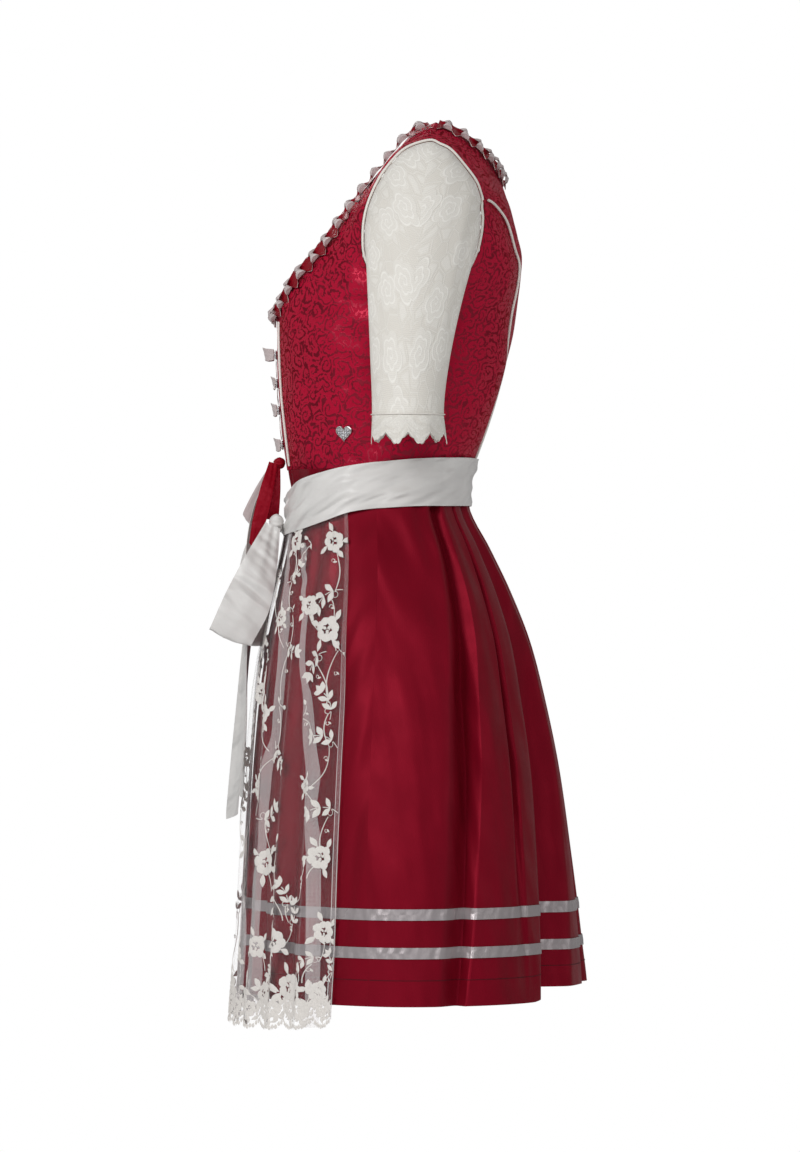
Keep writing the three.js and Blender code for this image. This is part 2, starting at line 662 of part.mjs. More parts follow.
function apronFold(turn, z) {
  const toHip = (z - waistHeight) / (hipHeight - waistHeight);
  const toHem = (z - hipHeight) / (apronHem - hipHeight);
  return apronFolds.reduce((height, fold) => {
    const size = toHip < 1 ? fold.hip * toHip ** 2 : mix(fold.hip, fold.hem, toHem);
    return height + size * bump((turn - fold.turn) / fold.spread);
  }, 0);
}

const apronPoint = (turn, z, out) => ringPoint(turnDown(turn, z), z, apronLift + apronFold(turn, z) + out);
const apronColumns = apronScallops * 4;
const apronHeights = [...skirtHeights.slice(1), apronHem];
const apronGrid = apronHeights.map((z) => (
  steps(-apronEdgeTurn, apronEdgeTurn, apronColumns).map((turn, j) => {
    if (z !== apronHem) return apronPoint(turn, z, 0);
    const tip = apronScallopDepth * Math.abs(Math.sin((Math.PI * j) / 4));
    return apronPoint(turn, z + apronEdgeRise * (turn / apronEdgeTurn) ** 2 - tip, 0);
  })
));
addPiece('apron', wall(apronGrid, tulleWall), colour.tulle, 0.7);

// ---- sash: a folded satin band round the waist, lower in front, where it is tied ----

const sashEdges = [
  { turn: 0, top: -398, bottom: -444 },
  { turn: 20, top: -393, bottom: -441 },
  { turn: 37, top: -383, bottom: -437 },
  { turn: 57, top: -375, bottom: -428 },
  { turn: 77, top: -367, bottom: -417 },
  { turn: 102, top: -360, bottom: -412 },
  { turn: 135, top: -358, bottom: -411 },
  { turn: 180, top: -358, bottom: -410 },
];

function sashEdgeAt(turn, edge) {
  const place = Math.abs(turn);
  const k = Math.max(1, sashEdges.findIndex((row) => row.turn >= place));
  const [a, b] = [sashEdges[k - 1], sashEdges[k]];
  return mix(a[edge], b[edge], (place - a.turn) / (b.turn - a.turn));
}

const sashCreases = [0, 1.4, 0.5, 1.2];
const sashTurns = steps(-180, 180, 52).slice(0, -1);
const sashGrid = sashCreases.map((crease, row) => sashTurns.map((turn) => {
  const down = row / (sashCreases.length - 1);
  const z = mix(sashEdgeAt(turn, 'top'), sashEdgeAt(turn, 'bottom'), down);
  const overApron = 1 - smooth((Math.abs(turn) - 70) / 20);
  return ringPoint(turn, z, mix(2.2, 6.1, overApron) + crease);
}));
addPiece('sash_band', wall(sashGrid, sashThickness, bodyMiddle, true), colour.white, 0.4);

// ---- bows: flat bands of ribbon along a table of places ----

// Each row gives the middle of the band and its width. The width runs along one direction, given
// by its turn and by its rise above level, both in degrees.
function band(rows, thickness, columns = 2) {
  const grid = rows.map((row) => {
    const level = Math.cos(radians(row.rise));
    const facing = radians(row.turn);
    const side = vec(level * Math.sin(facing), -level * Math.cos(facing), Math.sin(radians(row.rise)));
    return steps(-0.5, 0.5, columns).map((part) => vec(row.x, row.y, row.z).addScaledVector(side, part * row.wide));
  });
  return wall(grid, thickness, vec(rows[0].x - 40, rows[0].y + 60, rows[0].z));
}

function knot(x, y, z, wide, deep, high) {
  const shape = new THREE.SphereGeometry(0.5, 10, 7);
  shape.scale(wide, deep, high);
  shape.translate(x, y, z);
  return shape;
}

addPiece('sash_knot', knot(28, -171.4, -430, 23, 17, 25), colour.white, 0.4);
addPiece('sash_loop_L', band([
  { x: 39.7, y: -175, z: -432, wide: 18, turn: 0, rise: 25 },
  { x: 62, y: -189, z: -478, wide: 40, turn: 0, rise: 25 },
  { x: 75, y: -203, z: -518, wide: 52, turn: 0, rise: 23 },
  { x: 77, y: -218, z: -549, wide: 50, turn: 0, rise: 22 },
  { x: 66, y: -221, z: -555, wide: 50, turn: 0, rise: 22 },
  { x: 52, y: -206, z: -524, wide: 50, turn: 0, rise: 23 },
  { x: 47, y: -191, z: -484, wide: 36, turn: 0, rise: 25 },
  { x: 40.5, y: -180, z: -447, wide: 14, turn: 0, rise: 25 },
], satinWall), colour.white, 0.4);
addPiece('sash_loop_R', band([
  { x: 17, y: -176.3, z: -436, wide: 14, turn: -20, rise: 25 },
  { x: -14, y: -191, z: -458, wide: 34, turn: -20, rise: 20 },
  { x: -36, y: -199, z: -508, wide: 46, turn: -20, rise: 15 },
  { x: -46, y: -211, z: -556, wide: 48, turn: -20, rise: 12 },
  { x: -56, y: -209, z: -558, wide: 48, turn: -20, rise: 12 },
  { x: -62, y: -198, z: -512, wide: 42, turn: -20, rise: 15 },
  { x: -38, y: -184, z: -455, wide: 26, turn: -20, rise: 20 },
  { x: 14.4, y: -173.5, z: -429, wide: 10, turn: -20, rise: 25 },
], satinWall), colour.white, 0.4);
addPiece('sash_tail_L', band([
  { x: 31, y: -175.6, z: -441, wide: 14, turn: 90, rise: 0 },
  { x: 32, y: -193, z: -490, wide: 30, turn: 90, rise: 0 },
  { x: 30, y: -206, z: -560, wide: 36, turn: 90, rise: 0 },
  { x: 30, y: -212, z: -650, wide: 42, turn: 90, rise: 0 },
  { x: 32, y: -220, z: -739, wide: 46, turn: 90, rise: 4 },
  { x: 32, y: -221, z: -756, wide: 46, turn: 90, rise: 10 },
], satinWall), colour.white, 0.4);
addPiece('sash_tail_R', band([
  { x: 20, y: -176.6, z: -441, wide: 8, turn: 90, rise: 40 },
  { x: -8, y: -193, z: -490, wide: 18, turn: 90, rise: 20 },
  { x: -24, y: -206, z: -560, wide: 30, turn: 90, rise: 0 },
  { x: -29, y: -212, z: -650, wide: 40, turn: 90, rise: 0 },
  { x: -30, y: -217, z: -735, wide: 46, turn: 90, rise: -8 },
], satinWall), colour.white, 0.4);

// ---- front closure: four pairs of ornate hooks, laced with the ribbon, tied at the waist ----

// One row for each pair of hooks, with how far the ribbon's loop stands out from it.
const hookRows = [
  { z: -241, loop: 11 },
  { z: -273, loop: 3 },
  { z: -303, loop: 5 },
  { z: -342, loop: 6 },
];
const hookOffset = 13;
const hookThickness = 2.2;

// How far forward the front edge of the bodice lies at a height, a little off its cloth.
function frontFace(z, off) {
  const row = centreFront.findIndex((place) => place.z >= z);
  const [lower, upper] = [centreFront[row - 1], centreFront[row]];
  return mix(lower.y, upper.y, (z - lower.z) / (upper.z - lower.z)) - off;
}

function hookShape() {
  const petals = 6;
  const outline = Array.from({ length: petals * 2 }, (_, i) => {
    const reach = i % 2 === 0 ? 5.6 : 4.2;
    const angle = (Math.PI * i) / petals;
    return new THREE.Vector2(reach * Math.cos(angle), reach * Math.sin(angle));
  });
  const shape = new THREE.ExtrudeGeometry(new THREE.Shape(outline), { depth: hookThickness, bevelEnabled: false });
  shape.rotateX(Math.PI / 2);
  return shape;
}

hookRows.forEach(({ z }, i) => {
  for (const side of [1, -1]) {
    const material = new THREE.MeshStandardMaterial({ color: colour.silver, roughness: 0.35, metalness: 1 });
    const hook = new THREE.Mesh(hookShape(), material);
    hook.name = `hook_${i + 1}_${side > 0 ? 'L' : 'R'}`;
    hook.position.set(side * hookOffset, frontFace(z, 0.5), z);
    dirndl.add(hook);
  }
});

hookRows.forEach(({ z, loop }, i) => {
  const start = frontFace(z, hookThickness + 1.9);
  addPiece(`lacing_loop_${i + 1}`, band([
    { x: -16, y: start, z, wide: 12, turn: 0, rise: 90 },
    { x: -10, y: start - loop * 0.6, z, wide: 14, turn: 0, rise: 82 },
    { x: 0, y: start - loop, z: z + 1, wide: 15, turn: 0, rise: 78 },
    { x: 10, y: start - loop * 0.6, z, wide: 14, turn: 0, rise: 82 },
    { x: 16, y: start, z, wide: 12, turn: 0, rise: 90 },
  ], satinWall, 1), colour.crimson, 0.4);
});

hookRows.slice(1).forEach((lower, i) => {
  const from = hookRows[i].z - 8;
  const to = lower.z + 8;
  const side = i % 2 === 0 ? 1 : -1;
  addPiece(`lacing_cross_${i + 1}`, band([
    { x: -side * 6, y: frontFace(from, 1.6), z: from, wide: 9, turn: 90 * side, rise: 30 },
    { x: side * 6, y: frontFace(to, 1.6), z: to, wide: 9, turn: 90 * side, rise: 30 },
  ], satinWall, 1), colour.crimson, 0.4);
});

addPiece('lacing_knot', knot(4, -168.6, -362, 15, 14, 15), colour.crimson, 0.4);
addPiece('lacing_bow_loop_L', band([
  { x: 10, y: -173.2, z: -367, wide: 12, turn: 0, rise: 10 },
  { x: 15, y: -176, z: -392, wide: 18, turn: 0, rise: 8 },
  { x: 15, y: -179, z: -416, wide: 21, turn: 0, rise: 5 },
  { x: 11, y: -180, z: -424, wide: 21, turn: 0, rise: 5 },
  { x: 6, y: -179, z: -413, wide: 20, turn: 0, rise: 5 },
  { x: 7, y: -177, z: -394, wide: 16, turn: 0, rise: 8 },
  { x: 6.6, y: -173, z: -370.2, wide: 9, turn: 0, rise: 10 },
], satinWall), colour.crimson, 0.4);
addPiece('lacing_bow_loop_R', band([
  { x: -2, y: -176, z: -368, wide: 10, turn: 10, rise: 45 },
  { x: -9, y: -190, z: -395, wide: 16, turn: 10, rise: 48 },
  { x: -13, y: -203, z: -423, wide: 19, turn: 10, rise: 50 },
  { x: -18, y: -201, z: -425, wide: 19, turn: 10, rise: 50 },
  { x: -17, y: -188, z: -397, wide: 15, turn: 10, rise: 48 },
  { x: -5, y: -173, z: -369, wide: 8, turn: 10, rise: 45 },
], satinWall), colour.crimson, 0.4);
addPiece('lacing_tail_L', band([
  { x: 11.8, y: -175.2, z: -362, wide: 10, turn: 0, rise: 20 },
  { x: 26, y: -183, z: -395, wide: 15, turn: 0, rise: 20 },
  { x: 27, y: -191, z: -428, wide: 15, turn: 0, rise: 20 },
  { x: 26, y: -199, z: -455, wide: 9, turn: 0, rise: 50 },
], satinWall), colour.crimson, 0.4);
addPiece('lacing_tail_R', band([
  { x: 2, y: -174.8, z: -367, wide: 9, turn: 60, rise: 0 },
  { x: -2, y: -195, z: -410, wide: 9, turn: 60, rise: 0 },
  { x: 4, y: -203, z: -460, wide: 12, turn: 60, rise: 0 },
  { x: 3, y: -201, z: -520, wide: 14, turn: 50, rise: 0 },
  { x: 3, y: -208, z: -590, wide: 14, turn: 50, rise: 0 },
  { x: 3, y: -212, z: -648, wide: 14, turn: 50, rise: 25 },
], satinWall), colour.crimson, 0.4);

// ---- a plain heart badge pinned to the left front ----

const badge = { wide: 20, high: 18, thick: 1.6, u: 0.66, v: 0.073 };
function heart() {
  const shape = new THREE.Shape();
  const w = badge.wide / 2;
  const h = badge.high / 2;
  shape.moveTo(0, -h);
  shape.bezierCurveTo(w * 0.35, -h * 0.6, w, 0, w, h * 0.4);
  shape.bezierCurveTo(w, h * 1.15, w * 0.2, h * 1.2, 0, h * 0.55);
  shape.bezierCurveTo(-w * 0.2, h * 1.2, -w, h * 1.15, -w, h * 0.4);
  shape.bezierCurveTo(-w, 0, -w * 0.35, -h * 0.6, 0, -h);
  return new THREE.ExtrudeGeometry(shape, { depth: badge.thick, bevelEnabled: false, curveSegments: 6 });
}
const badgePlace = seamCord(frontCloth, badge.u, badge.v, badge.v + 0.001, 1, 0.3)[0];
const badgeFacing = badgePlace.clone().sub(frontCloth(badge.u, badge.v)).normalize();
const badgeMaterial = new THREE.MeshStandardMaterial({ color: colour.silver, roughness: 0.3, metalness: 1 });
const badgeMesh = new THREE.Mesh(heart(), badgeMaterial);
badgeMesh.name = 'heart_badge';
badgeMesh.position.copy(badgePlace);
badgeMesh.up.set(0, 0, 1);
badgeMesh.lookAt(badgePlace.clone().add(badgeFacing));
dirndl.add(badgeMesh);

export default dirndl;
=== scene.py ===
import math

import bpy
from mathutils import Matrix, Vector


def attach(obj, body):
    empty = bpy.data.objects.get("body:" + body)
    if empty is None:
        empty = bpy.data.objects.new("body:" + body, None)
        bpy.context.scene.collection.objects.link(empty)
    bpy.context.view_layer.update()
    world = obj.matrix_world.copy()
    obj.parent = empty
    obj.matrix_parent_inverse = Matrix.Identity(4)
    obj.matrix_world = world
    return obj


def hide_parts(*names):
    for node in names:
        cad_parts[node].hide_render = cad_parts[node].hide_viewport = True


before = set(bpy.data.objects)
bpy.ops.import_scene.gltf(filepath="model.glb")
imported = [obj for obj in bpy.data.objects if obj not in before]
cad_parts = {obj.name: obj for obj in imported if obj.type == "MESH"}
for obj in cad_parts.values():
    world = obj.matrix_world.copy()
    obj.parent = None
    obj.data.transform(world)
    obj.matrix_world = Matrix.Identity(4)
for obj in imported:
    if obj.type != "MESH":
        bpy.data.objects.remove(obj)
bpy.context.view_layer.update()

# ---- studio ----
# A pale floor some way below the hem, a white surround, and soft lamps: a large one from the
# front and above, one from the back, and a low fill. The camera looks level at the left side.


def add_object(name, data):
    """Puts a new object into the scene."""
    added = bpy.data.objects.new(name, data)
    bpy.context.collection.objects.link(added)
    return added


scene = bpy.context.scene
scene.view_settings.view_transform = "Standard"
scene.view_settings.look = "None"

camera_data = bpy.data.cameras.new("camera")
camera_data.sensor_fit = "VERTICAL"
camera_data.sensor_height = 36
camera_data.lens = 181.4
camera = add_object("camera", camera_data)
camera.location = (6.5, -0.0336, -0.4883)
camera.rotation_euler = (math.radians(90), 0, math.radians(90))
scene.camera = camera

for lamp_name, place, size, power in (
    ("front lamp", (3.4, -3.0, 1.6), 1.6, 90),
    ("back lamp", (1.6, 4.0, 1.2), 2.0, 14),
    ("fill lamp", (3.6, 0.2, 0.9), 2.4, 30),
    ("far lamp", (-4.0, -1.0, 1.0), 2.5, 45),
):
    lamp_data = bpy.data.lights.new(lamp_name, "AREA")
    lamp_data.shape = "DISK"
    lamp_data.size = size
    lamp_data.energy = power
    lamp = add_object(lamp_name, lamp_data)
    lamp.location = place
    lamp.rotation_euler = (Vector((0, 0, -0.5)) - Vector(place)).to_track_quat("-Z", "Y").to_euler()

# The surround shows white to the camera and lights the cloth more softly.
surround = bpy.data.worlds.new("surround")
surround.use_nodes = True
scene.world = surround
light_path = surround.node_tree.nodes.new("ShaderNodeLightPath")
brightness = surround.node_tree.nodes.new("ShaderNodeMapRange")
brightness.inputs["To Min"].default_value = 0.33
brightness.inputs["To Max"].default_value = 1.0
surround.node_tree.links.new(light_path.outputs["Is Camera Ray"], brightness.inputs["Value"])
background = surround.node_tree.nodes["Background"]
background.inputs["Color"].default_value = (1, 1, 1, 1)
surround.node_tree.links.new(brightness.outputs["Result"], background.inputs["Strength"])

bpy.ops.object.select_all(action="DESELECT")
bpy.ops.mesh.primitive_plane_add(size=5, location=(0, 0, -1.4))
floor = bpy.context.object
floor.name = "floor"
floor_paint = bpy.data.materials.new("floor paint")
floor_paint.use_nodes = True
floor_shader = floor_paint.node_tree.nodes["Principled BSDF"].inputs
floor_shader["Base Color"].default_value = (0.95, 0.95, 0.95, 1)
floor_shader["Roughness"].default_value = 0.9
floor.data.materials.append(floor_paint)

# ---- bodice ----
# Eight panels of satin jacquard, cut to the body and joined at centre front, front, side, back
# and centre back. Each is a thin shell between two seams, and small folds show at the waist.

METRE = 0.001
SIDES = ((1, "L"), (-1, "R"))
BODY_MIDDLE = Vector((0, -45, -300))
JACQUARD_THICKNESS = 0.9


def mix(a, b, t):
    return a + (b - a) * t


def smooth(t):
    t = min(max(t, 0), 1)
    return t * t * (3 - 2 * t)


def bump(distance):
    return 0.5 + 0.5 * math.cos(math.pi * distance) if abs(distance) < 1 else 0


def hermite(start, leave, end, arrive, t):
    """A value on the way from start to end, with the speeds at which it leaves and arrives."""
    square, cube = t * t, t * t * t
    return (
        start * (2 * cube - 3 * square + 1)
        + leave * (cube - 2 * square + t)
        + end * (3 * square - 2 * cube)
        + arrive * (cube - square)
    )


def spline(points, place, closed=False):
    """A point on the smooth line through all the points; place counts from 0 at the first."""
    count = len(points)
    last = count if closed else count - 1
    k = min(int(place), last - 1)
    t = place - k
    start, end = points[k % count], points[(k + 1) % count]
    if closed:
        before, after = points[k - 1], points[(k + 2) % count]
    else:
        before = points[k - 1] if k > 0 else 2 * start - end
        after = points[k + 2] if k + 2 < count else 2 * end - start
    return hermite(start, (end - before) / 2, end, (after - start) / 2, t)


def seam(first, second=(), facing=3):
    """A line through two tables of (x, y, z, turn), with a break where the second begins. Facing is
    the column of the turn, where a table has more than one."""
    rows = [*first, *second]
    corner, last = len(first) - 1, len(rows) - 1

    def at(t):
        start, end = (0, corner) if t * last <= corner else (corner, last)
        return spline([Vector(row[:3]) for row in rows[start:end + 1]], t * last - start)

    def turn_at(t):
        k = min(int(t * last), last - 1)
        before, after = [row[facing] if len(row) > facing else row[3] for row in rows[k:k + 2]]
        return math.radians(mix(before, after, t * last - k))

    return at, turn_at


def panel(front, rear):
    """The cloth between two seams: u runs across it, from front to back, and v up it."""

    def point(u, v):
        a, b = front[0](v), rear[0](v)
        pull = 1.1 * math.hypot(b.x - a.x, b.y - a.y)
        turn_a, turn_b = front[1](v), rear[1](v)
        x = hermite(a.x, pull * math.cos(turn_a), b.x, pull * math.cos(turn_b), u)
        y = hermite(a.y, pull * math.sin(turn_a), b.y, pull * math.sin(turn_b), u)
        return Vector((x, y, mix(a.z, b.z, u)))

    return point


def normal_at(surface, u, v, step=0.01):
    """The outward direction of a surface at a place on it."""
    across = surface(min(u + step, 1), v) - surface(max(u - step, 0), v)
    along = surface(u, min(v + step, 1)) - surface(u, max(v - step, 0))
    normal = across.cross(along).normalized()
    return normal if normal.dot(surface(u, v) - BODY_MIDDLE) > 0 else -normal


def cloth(name, grid, thickness, materials, closed=False, inside=BODY_MIDDLE):
    """Makes a thin shell whose outer face is a grid of points in millimetres, with a UV map in metres.
    The face lies away from the point inside. More materials are for its reverse and its edge."""
    rows, columns = len(grid), len(grid[0])
    last = columns if closed else columns - 1
    faces = [
        (i * columns + j, i * columns + (j + 1) % columns,
         (i + 1) * columns + (j + 1) % columns, (i + 1) * columns + j)
        for i in range(rows - 1) for j in range(last)
    ]
    mesh = bpy.data.meshes.new(name)
    mesh.from_pydata([point * METRE for row in grid for point in row], [], faces)
    outward = sum((face.center / METRE - inside).dot(face.normal) * face.area for face in mesh.polygons)
    if outward < 0:
        mesh.flip_normals()

    across = []
    for row in grid:
        along = [0]
        for j in range(last):
            along.append(along[-1] + (row[(j + 1) % columns] - row[j]).length * METRE)
        across.append([value - along[-1] / 2 for value in along])
    middle = columns // 2
    up = [0]
    for i in range(rows - 1):
        up.append(up[-1] + (grid[i + 1][middle] - grid[i][middle]).length * METRE)

    uv_map = mesh.uv_layers.new(name="cloth")
    for index, face in enumerate(mesh.polygons):
        for loop in face.loop_indices:
            i, j = divmod(mesh.loops[loop].vertex_index, columns)
            if closed and j == 0 and index % last == last - 1:
                j = columns
            uv_map.data[loop].uv = (across[i][j], up[i])
    for material in materials:
        mesh.materials.append(material)

    piece = add_object(name, mesh)
    piece["width"] = max(row[-1] - row[0] for row in across)
    piece["length"] = max(
        sum((grid[i + 1][j] - grid[i][j]).length for i in range(rows - 1)) for j in range(columns)
    ) * METRE
    piece["area"] = sum(face.area for face in mesh.polygons)
    shell = piece.modifiers.new("thickness", "SOLIDIFY")
    shell.thickness = thickness * METRE
    shell.offset = -1
    if len(materials) > 1:
        shell.material_offset = 1
        shell.material_offset_rim = 2 if len(materials) > 2 else 1
    finish_piece(piece)
    return piece


def choose(*pieces):
    """Selects these pieces and nothing else, with the first of them active."""
    bpy.ops.object.select_all(action="DESELECT")
    for piece in pieces:
        piece.select_set(True)
    bpy.context.view_layer.objects.active = pieces[0]


def finish_piece(piece):
    """Applies what is on a piece, shades it smooth and fixes it to the dress."""
    choose(piece)
    for modifier in list(piece.modifiers):
        bpy.ops.object.modifier_apply(modifier=modifier.name)
    bpy.ops.object.shade_smooth_by_angle(angle=math.radians(50))
    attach(piece, "root")


def sew(nodes):
    """Hides the solids that a sheet stands for."""
    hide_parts(*nodes)


def connect(tree, sockets, values):
    """Gives each input a number, a colour or another node's output."""
    for key, value in values.items():
        if isinstance(value, bpy.types.NodeSocket):
            tree.links.new(value, sockets[key])
        else:
            sockets[key].default_value = value


def put(tree, kind, inputs, **settings):
    """Adds a shader node."""
    added = tree.nodes.new("ShaderNode" + kind)
    for key, value in settings.items():
        setattr(added, key, value)
    connect(tree, added.inputs, inputs)
    return added


def calc(tree, operation, a, b=0.0):
    return put(tree, "Math", {0: a, 1: b}, operation=operation).outputs[0]


def plus(tree, a, b):
    return calc(tree, "ADD", a, b)


def times(tree, a, b):
    return calc(tree, "MULTIPLY", a, b)


def parts_of(tree, vector):
    return put(tree, "SeparateXYZ", {0: vector}).outputs


def scaled(tree, vector, scale):
    return put(tree, "VectorMath", {0: vector, "Scale": scale}, operation="SCALE").outputs[0]


def fade(tree, value, low, high, to_low=0.0, to_high=1.0):
    """Maps a value from one range to another with soft ends."""
    return put(tree, "MapRange", {"Value": value, "From Min": low, "From Max": high,
                                  "To Min": to_low, "To Max": to_high},
               interpolation_type="SMOOTHSTEP").outputs["Result"]


def blend_colour(tree, factor, a, b):
    return put(tree, "Mix", {"Factor": factor, 6: a, 7: b}, data_type="RGBA").outputs[2]


def noise(tree, vector, scale, detail):
    return put(tree, "TexNoise", {"Vector": vector, "Scale": scale, "Detail": detail}).outputs


def cells_in(tree, vector, scale, random, feature="F1"):
    """Irregular flat cells: their places and chance colours, or the distance to their edges."""
    return put(tree, "TexVoronoi", {"Vector": vector, "Scale": scale, "Randomness": random},
               voronoi_dimensions="2D", feature=feature).outputs


def within_cell(tree, vector, cells, scale):
    """Where a place lies in its own cell: sideways, upwards, and how far from the middle."""
    local = put(tree, "VectorMath", {0: vector, 1: cells["Position"]}, operation="SUBTRACT").outputs[0]
    x, y, _ = parts_of(tree, scaled(tree, local, scale))
    return x, y, calc(tree, "SQRT", plus(tree, times(tree, x, x), times(tree, y, y)))


def relief(tree, height, strength=1.0, distance=1.0):
    """The shading of a surface raised by a height, in metres where strength and distance are 1."""
    return put(tree, "Bump", {"Height": height, "Strength": strength, "Distance": distance}).outputs[0]


def new_group(name, ins, outs):
    """An empty node group with named inputs and outputs."""
    group = bpy.data.node_groups.new(name, "ShaderNodeTree")
    for label, kind in ins:
        group.interface.new_socket(name=label, in_out="INPUT", socket_type="NodeSocket" + kind)
    for label, kind in outs:
        group.interface.new_socket(name=label, in_out="OUTPUT", socket_type="NodeSocket" + kind)
    return group, group.nodes.new("NodeGroupInput").outputs, group.nodes.new("NodeGroupOutput").inputs


def place_group(tree, group, inputs):
    return put(tree, "Group", inputs, node_tree=group).outputs


# In radians, for the shaders.
FULL_TURN = 6.2832

# Satin weave: fine threads that run across and along, with a slow unevenness of the dye.
weave, weave_in, weave_out = new_group(
    "satin weave",
    [("Vector", "Vector"), ("Threads", "Float")],
    [("Thread", "Float"), ("Cloudy", "Float")],
)
weave_x, weave_y, _ = parts_of(weave, scaled(weave, weave_in["Vector"], weave_in["Threads"]))
weave_across = calc(weave, "SINE", times(weave, weave_x, FULL_TURN))
weave_slant = calc(weave, "SINE", times(weave, plus(weave, weave_x, times(weave, weave_y, 0.37)), 2.2))
connect(weave, weave_out, {
    "Thread": plus(weave, times(weave, weave_across, 0.3), times(weave, weave_slant, 0.2)),
    "Cloudy": noise(weave, weave_in["Vector"], 22.0, 3.0)[0],
})

# Scroll figure of the jacquard: curled leaves with lobed edges, one to a cell, small leaves between.
scroll, scroll_in, scroll_out = new_group(
    "scroll figure", [("Vector", "Vector"), ("Scale", "Float")], [("Figure", "Float")])
scroll_bend = noise(scroll, scroll_in["Vector"], 48.0, 1.5)["Color"]
scroll_shift = put(scroll, "VectorMath", {0: scroll_bend, 1: (0.5, 0.5, 0.5)}, operation="SUBTRACT")
scroll_place = put(scroll, "VectorMath", {0: scroll_shift.outputs[0], 1: (0.02, 0.02, 0.0),
                                          2: scroll_in["Vector"]}, operation="MULTIPLY_ADD").outputs[0]
scroll_cells = cells_in(scroll, scroll_place, scroll_in["Scale"], 0.9)
scroll_edge = cells_in(scroll, scroll_place, scroll_in["Scale"], 0.9, "DISTANCE_TO_EDGE")["Distance"]
scroll_x, scroll_y, scroll_radius = within_cell(scroll, scroll_place, scroll_cells, scroll_in["Scale"])
scroll_chance = parts_of(scroll, scroll_cells["Color"])
scroll_hand = calc(scroll, "SIGN", calc(scroll, "SUBTRACT", scroll_chance[0], 0.5))
scroll_angle = calc(scroll, "ARCTAN2", scroll_y, times(scroll, scroll_x, scroll_hand))
scroll_start = plus(scroll, calc(scroll, "DIVIDE", scroll_angle, FULL_TURN), scroll_chance[1])
scroll_phase = calc(scroll, "FRACT", plus(scroll, times(scroll, scroll_radius, 2.6), scroll_start))
scroll_off = calc(scroll, "ABSOLUTE", calc(scroll, "SUBTRACT", scroll_phase, 0.5))
scroll_lobes = calc(scroll, "SINE", times(scroll, scroll_angle, 9.0))
scroll_leaf_width = fade(scroll, scroll_radius, 0.1, 0.5, 0.11, 0.23)
scroll_half = plus(scroll, times(scroll, scroll_lobes, 0.07), scroll_leaf_width)
scroll_curl = fade(scroll, calc(scroll, "SUBTRACT", scroll_half, scroll_off), -0.03, 0.03)
scroll_curl = times(scroll, scroll_curl, fade(scroll, scroll_edge, 0.03, 0.09))
scroll_leaf = fade(scroll, cells_in(scroll, scroll_place, 150.0, 0.9)["Distance"], 0.36, 0.3)
scroll_leaf = times(scroll, scroll_leaf, fade(scroll, scroll_edge, 0.12, 0.04))
connect(scroll, scroll_out, {"Figure": calc(scroll, "MAXIMUM", scroll_curl, scroll_leaf)})


def new_material(name):
    """A material, its node tree, the inputs of its shader and the piece's own UV map."""
    material = bpy.data.materials.new(name)
    material.use_nodes = True
    tree = material.node_tree
    return material, tree, tree.nodes["Principled BSDF"].inputs, tree.nodes.new("ShaderNodeUVMap").outputs[0]


RED_SHINE = (1, 0.16, 0.24, 1)
jacquard, tree, shader, uv = new_material("jacquard")
figure = place_group(tree, scroll, {"Vector": uv, "Scale": 58.0})["Figure"]
threads = place_group(tree, weave, {"Vector": uv, "Threads": 1800.0})
ground = blend_colour(tree, threads["Cloudy"], (0.44, 0.006, 0.034, 1), (0.34, 0.004, 0.025, 1))
woven = plus(tree, times(tree, threads["Thread"], 0.15), figure)
slack = noise(tree, uv, 13.0, 2.0)[0]
connect(tree, shader, {
    "Base Color": blend_colour(tree, figure, ground, (0.27, 0.018, 0.036, 1)),
    "Roughness": fade(tree, figure, 0, 1, 0.5, 0.4),
    "Metallic": fade(tree, figure, 0, 1, 0.0, 0.85),
    "Normal": relief(tree, plus(tree, times(tree, woven, 0.0001), times(tree, slack, 0.018))),
    "Specular IOR Level": 0.3,
    "Specular Tint": RED_SHINE,
})

CENTRE_FRONT = [
    (0, -160, -370, 0),
    (0, -166, -326, 0),
    (0, -169, -288, 0),
    (0, -171, -252, 0),
    (0, -171, -219, 0),
    (0, -171, -188, 0),
]
FRONT_SEAM = [
    (38, -155, -370, 18),
    (40, -160, -327, 17),
    (42, -164, -289, 15),
    (44, -166, -253, 14),
    (45, -167, -217, 14),
    (45, -166.5, -186, 15),
]
FRONT_NECK_EDGE = [
    (65, -153, -161, 28),
    (80, -126, -131, 32),
    (87, -95, -89, 16),
    (90, -67, -54, -2),
    (90, -40, -23, -11),
    (89, -19, 1, -10),
    (87, 6, 13, -10),
]
SIDE_SEAM = [
    (135, -45, -370, 88),
    (137, -42, -327, 88),
    (142, -38, -289, 88),
    (149, -32, -253, 88),
    (156, -24, -219, 88),
    (158, -8, -190, 90),
]
FRONT_ARMHOLE = [
    (157, -43, -181, 75),
    (146, -72, -147, 56),
    (139, -77, -111, 38),
    (135, -71, -77, 12),
    (132, -54, -43, -5),
    (131, -30, -17, -8),
    (130, -2, -7, -10),
]
SIDE_BACK_ARMHOLE = [
    (155, 28, -176, 115),
    (146, 51, -139, 128),
    (141, 58, -116, 138),
    (137, 60, -96, 143),
    (134, 59, -83, 148),
    (132, 58, -76, 150),
]
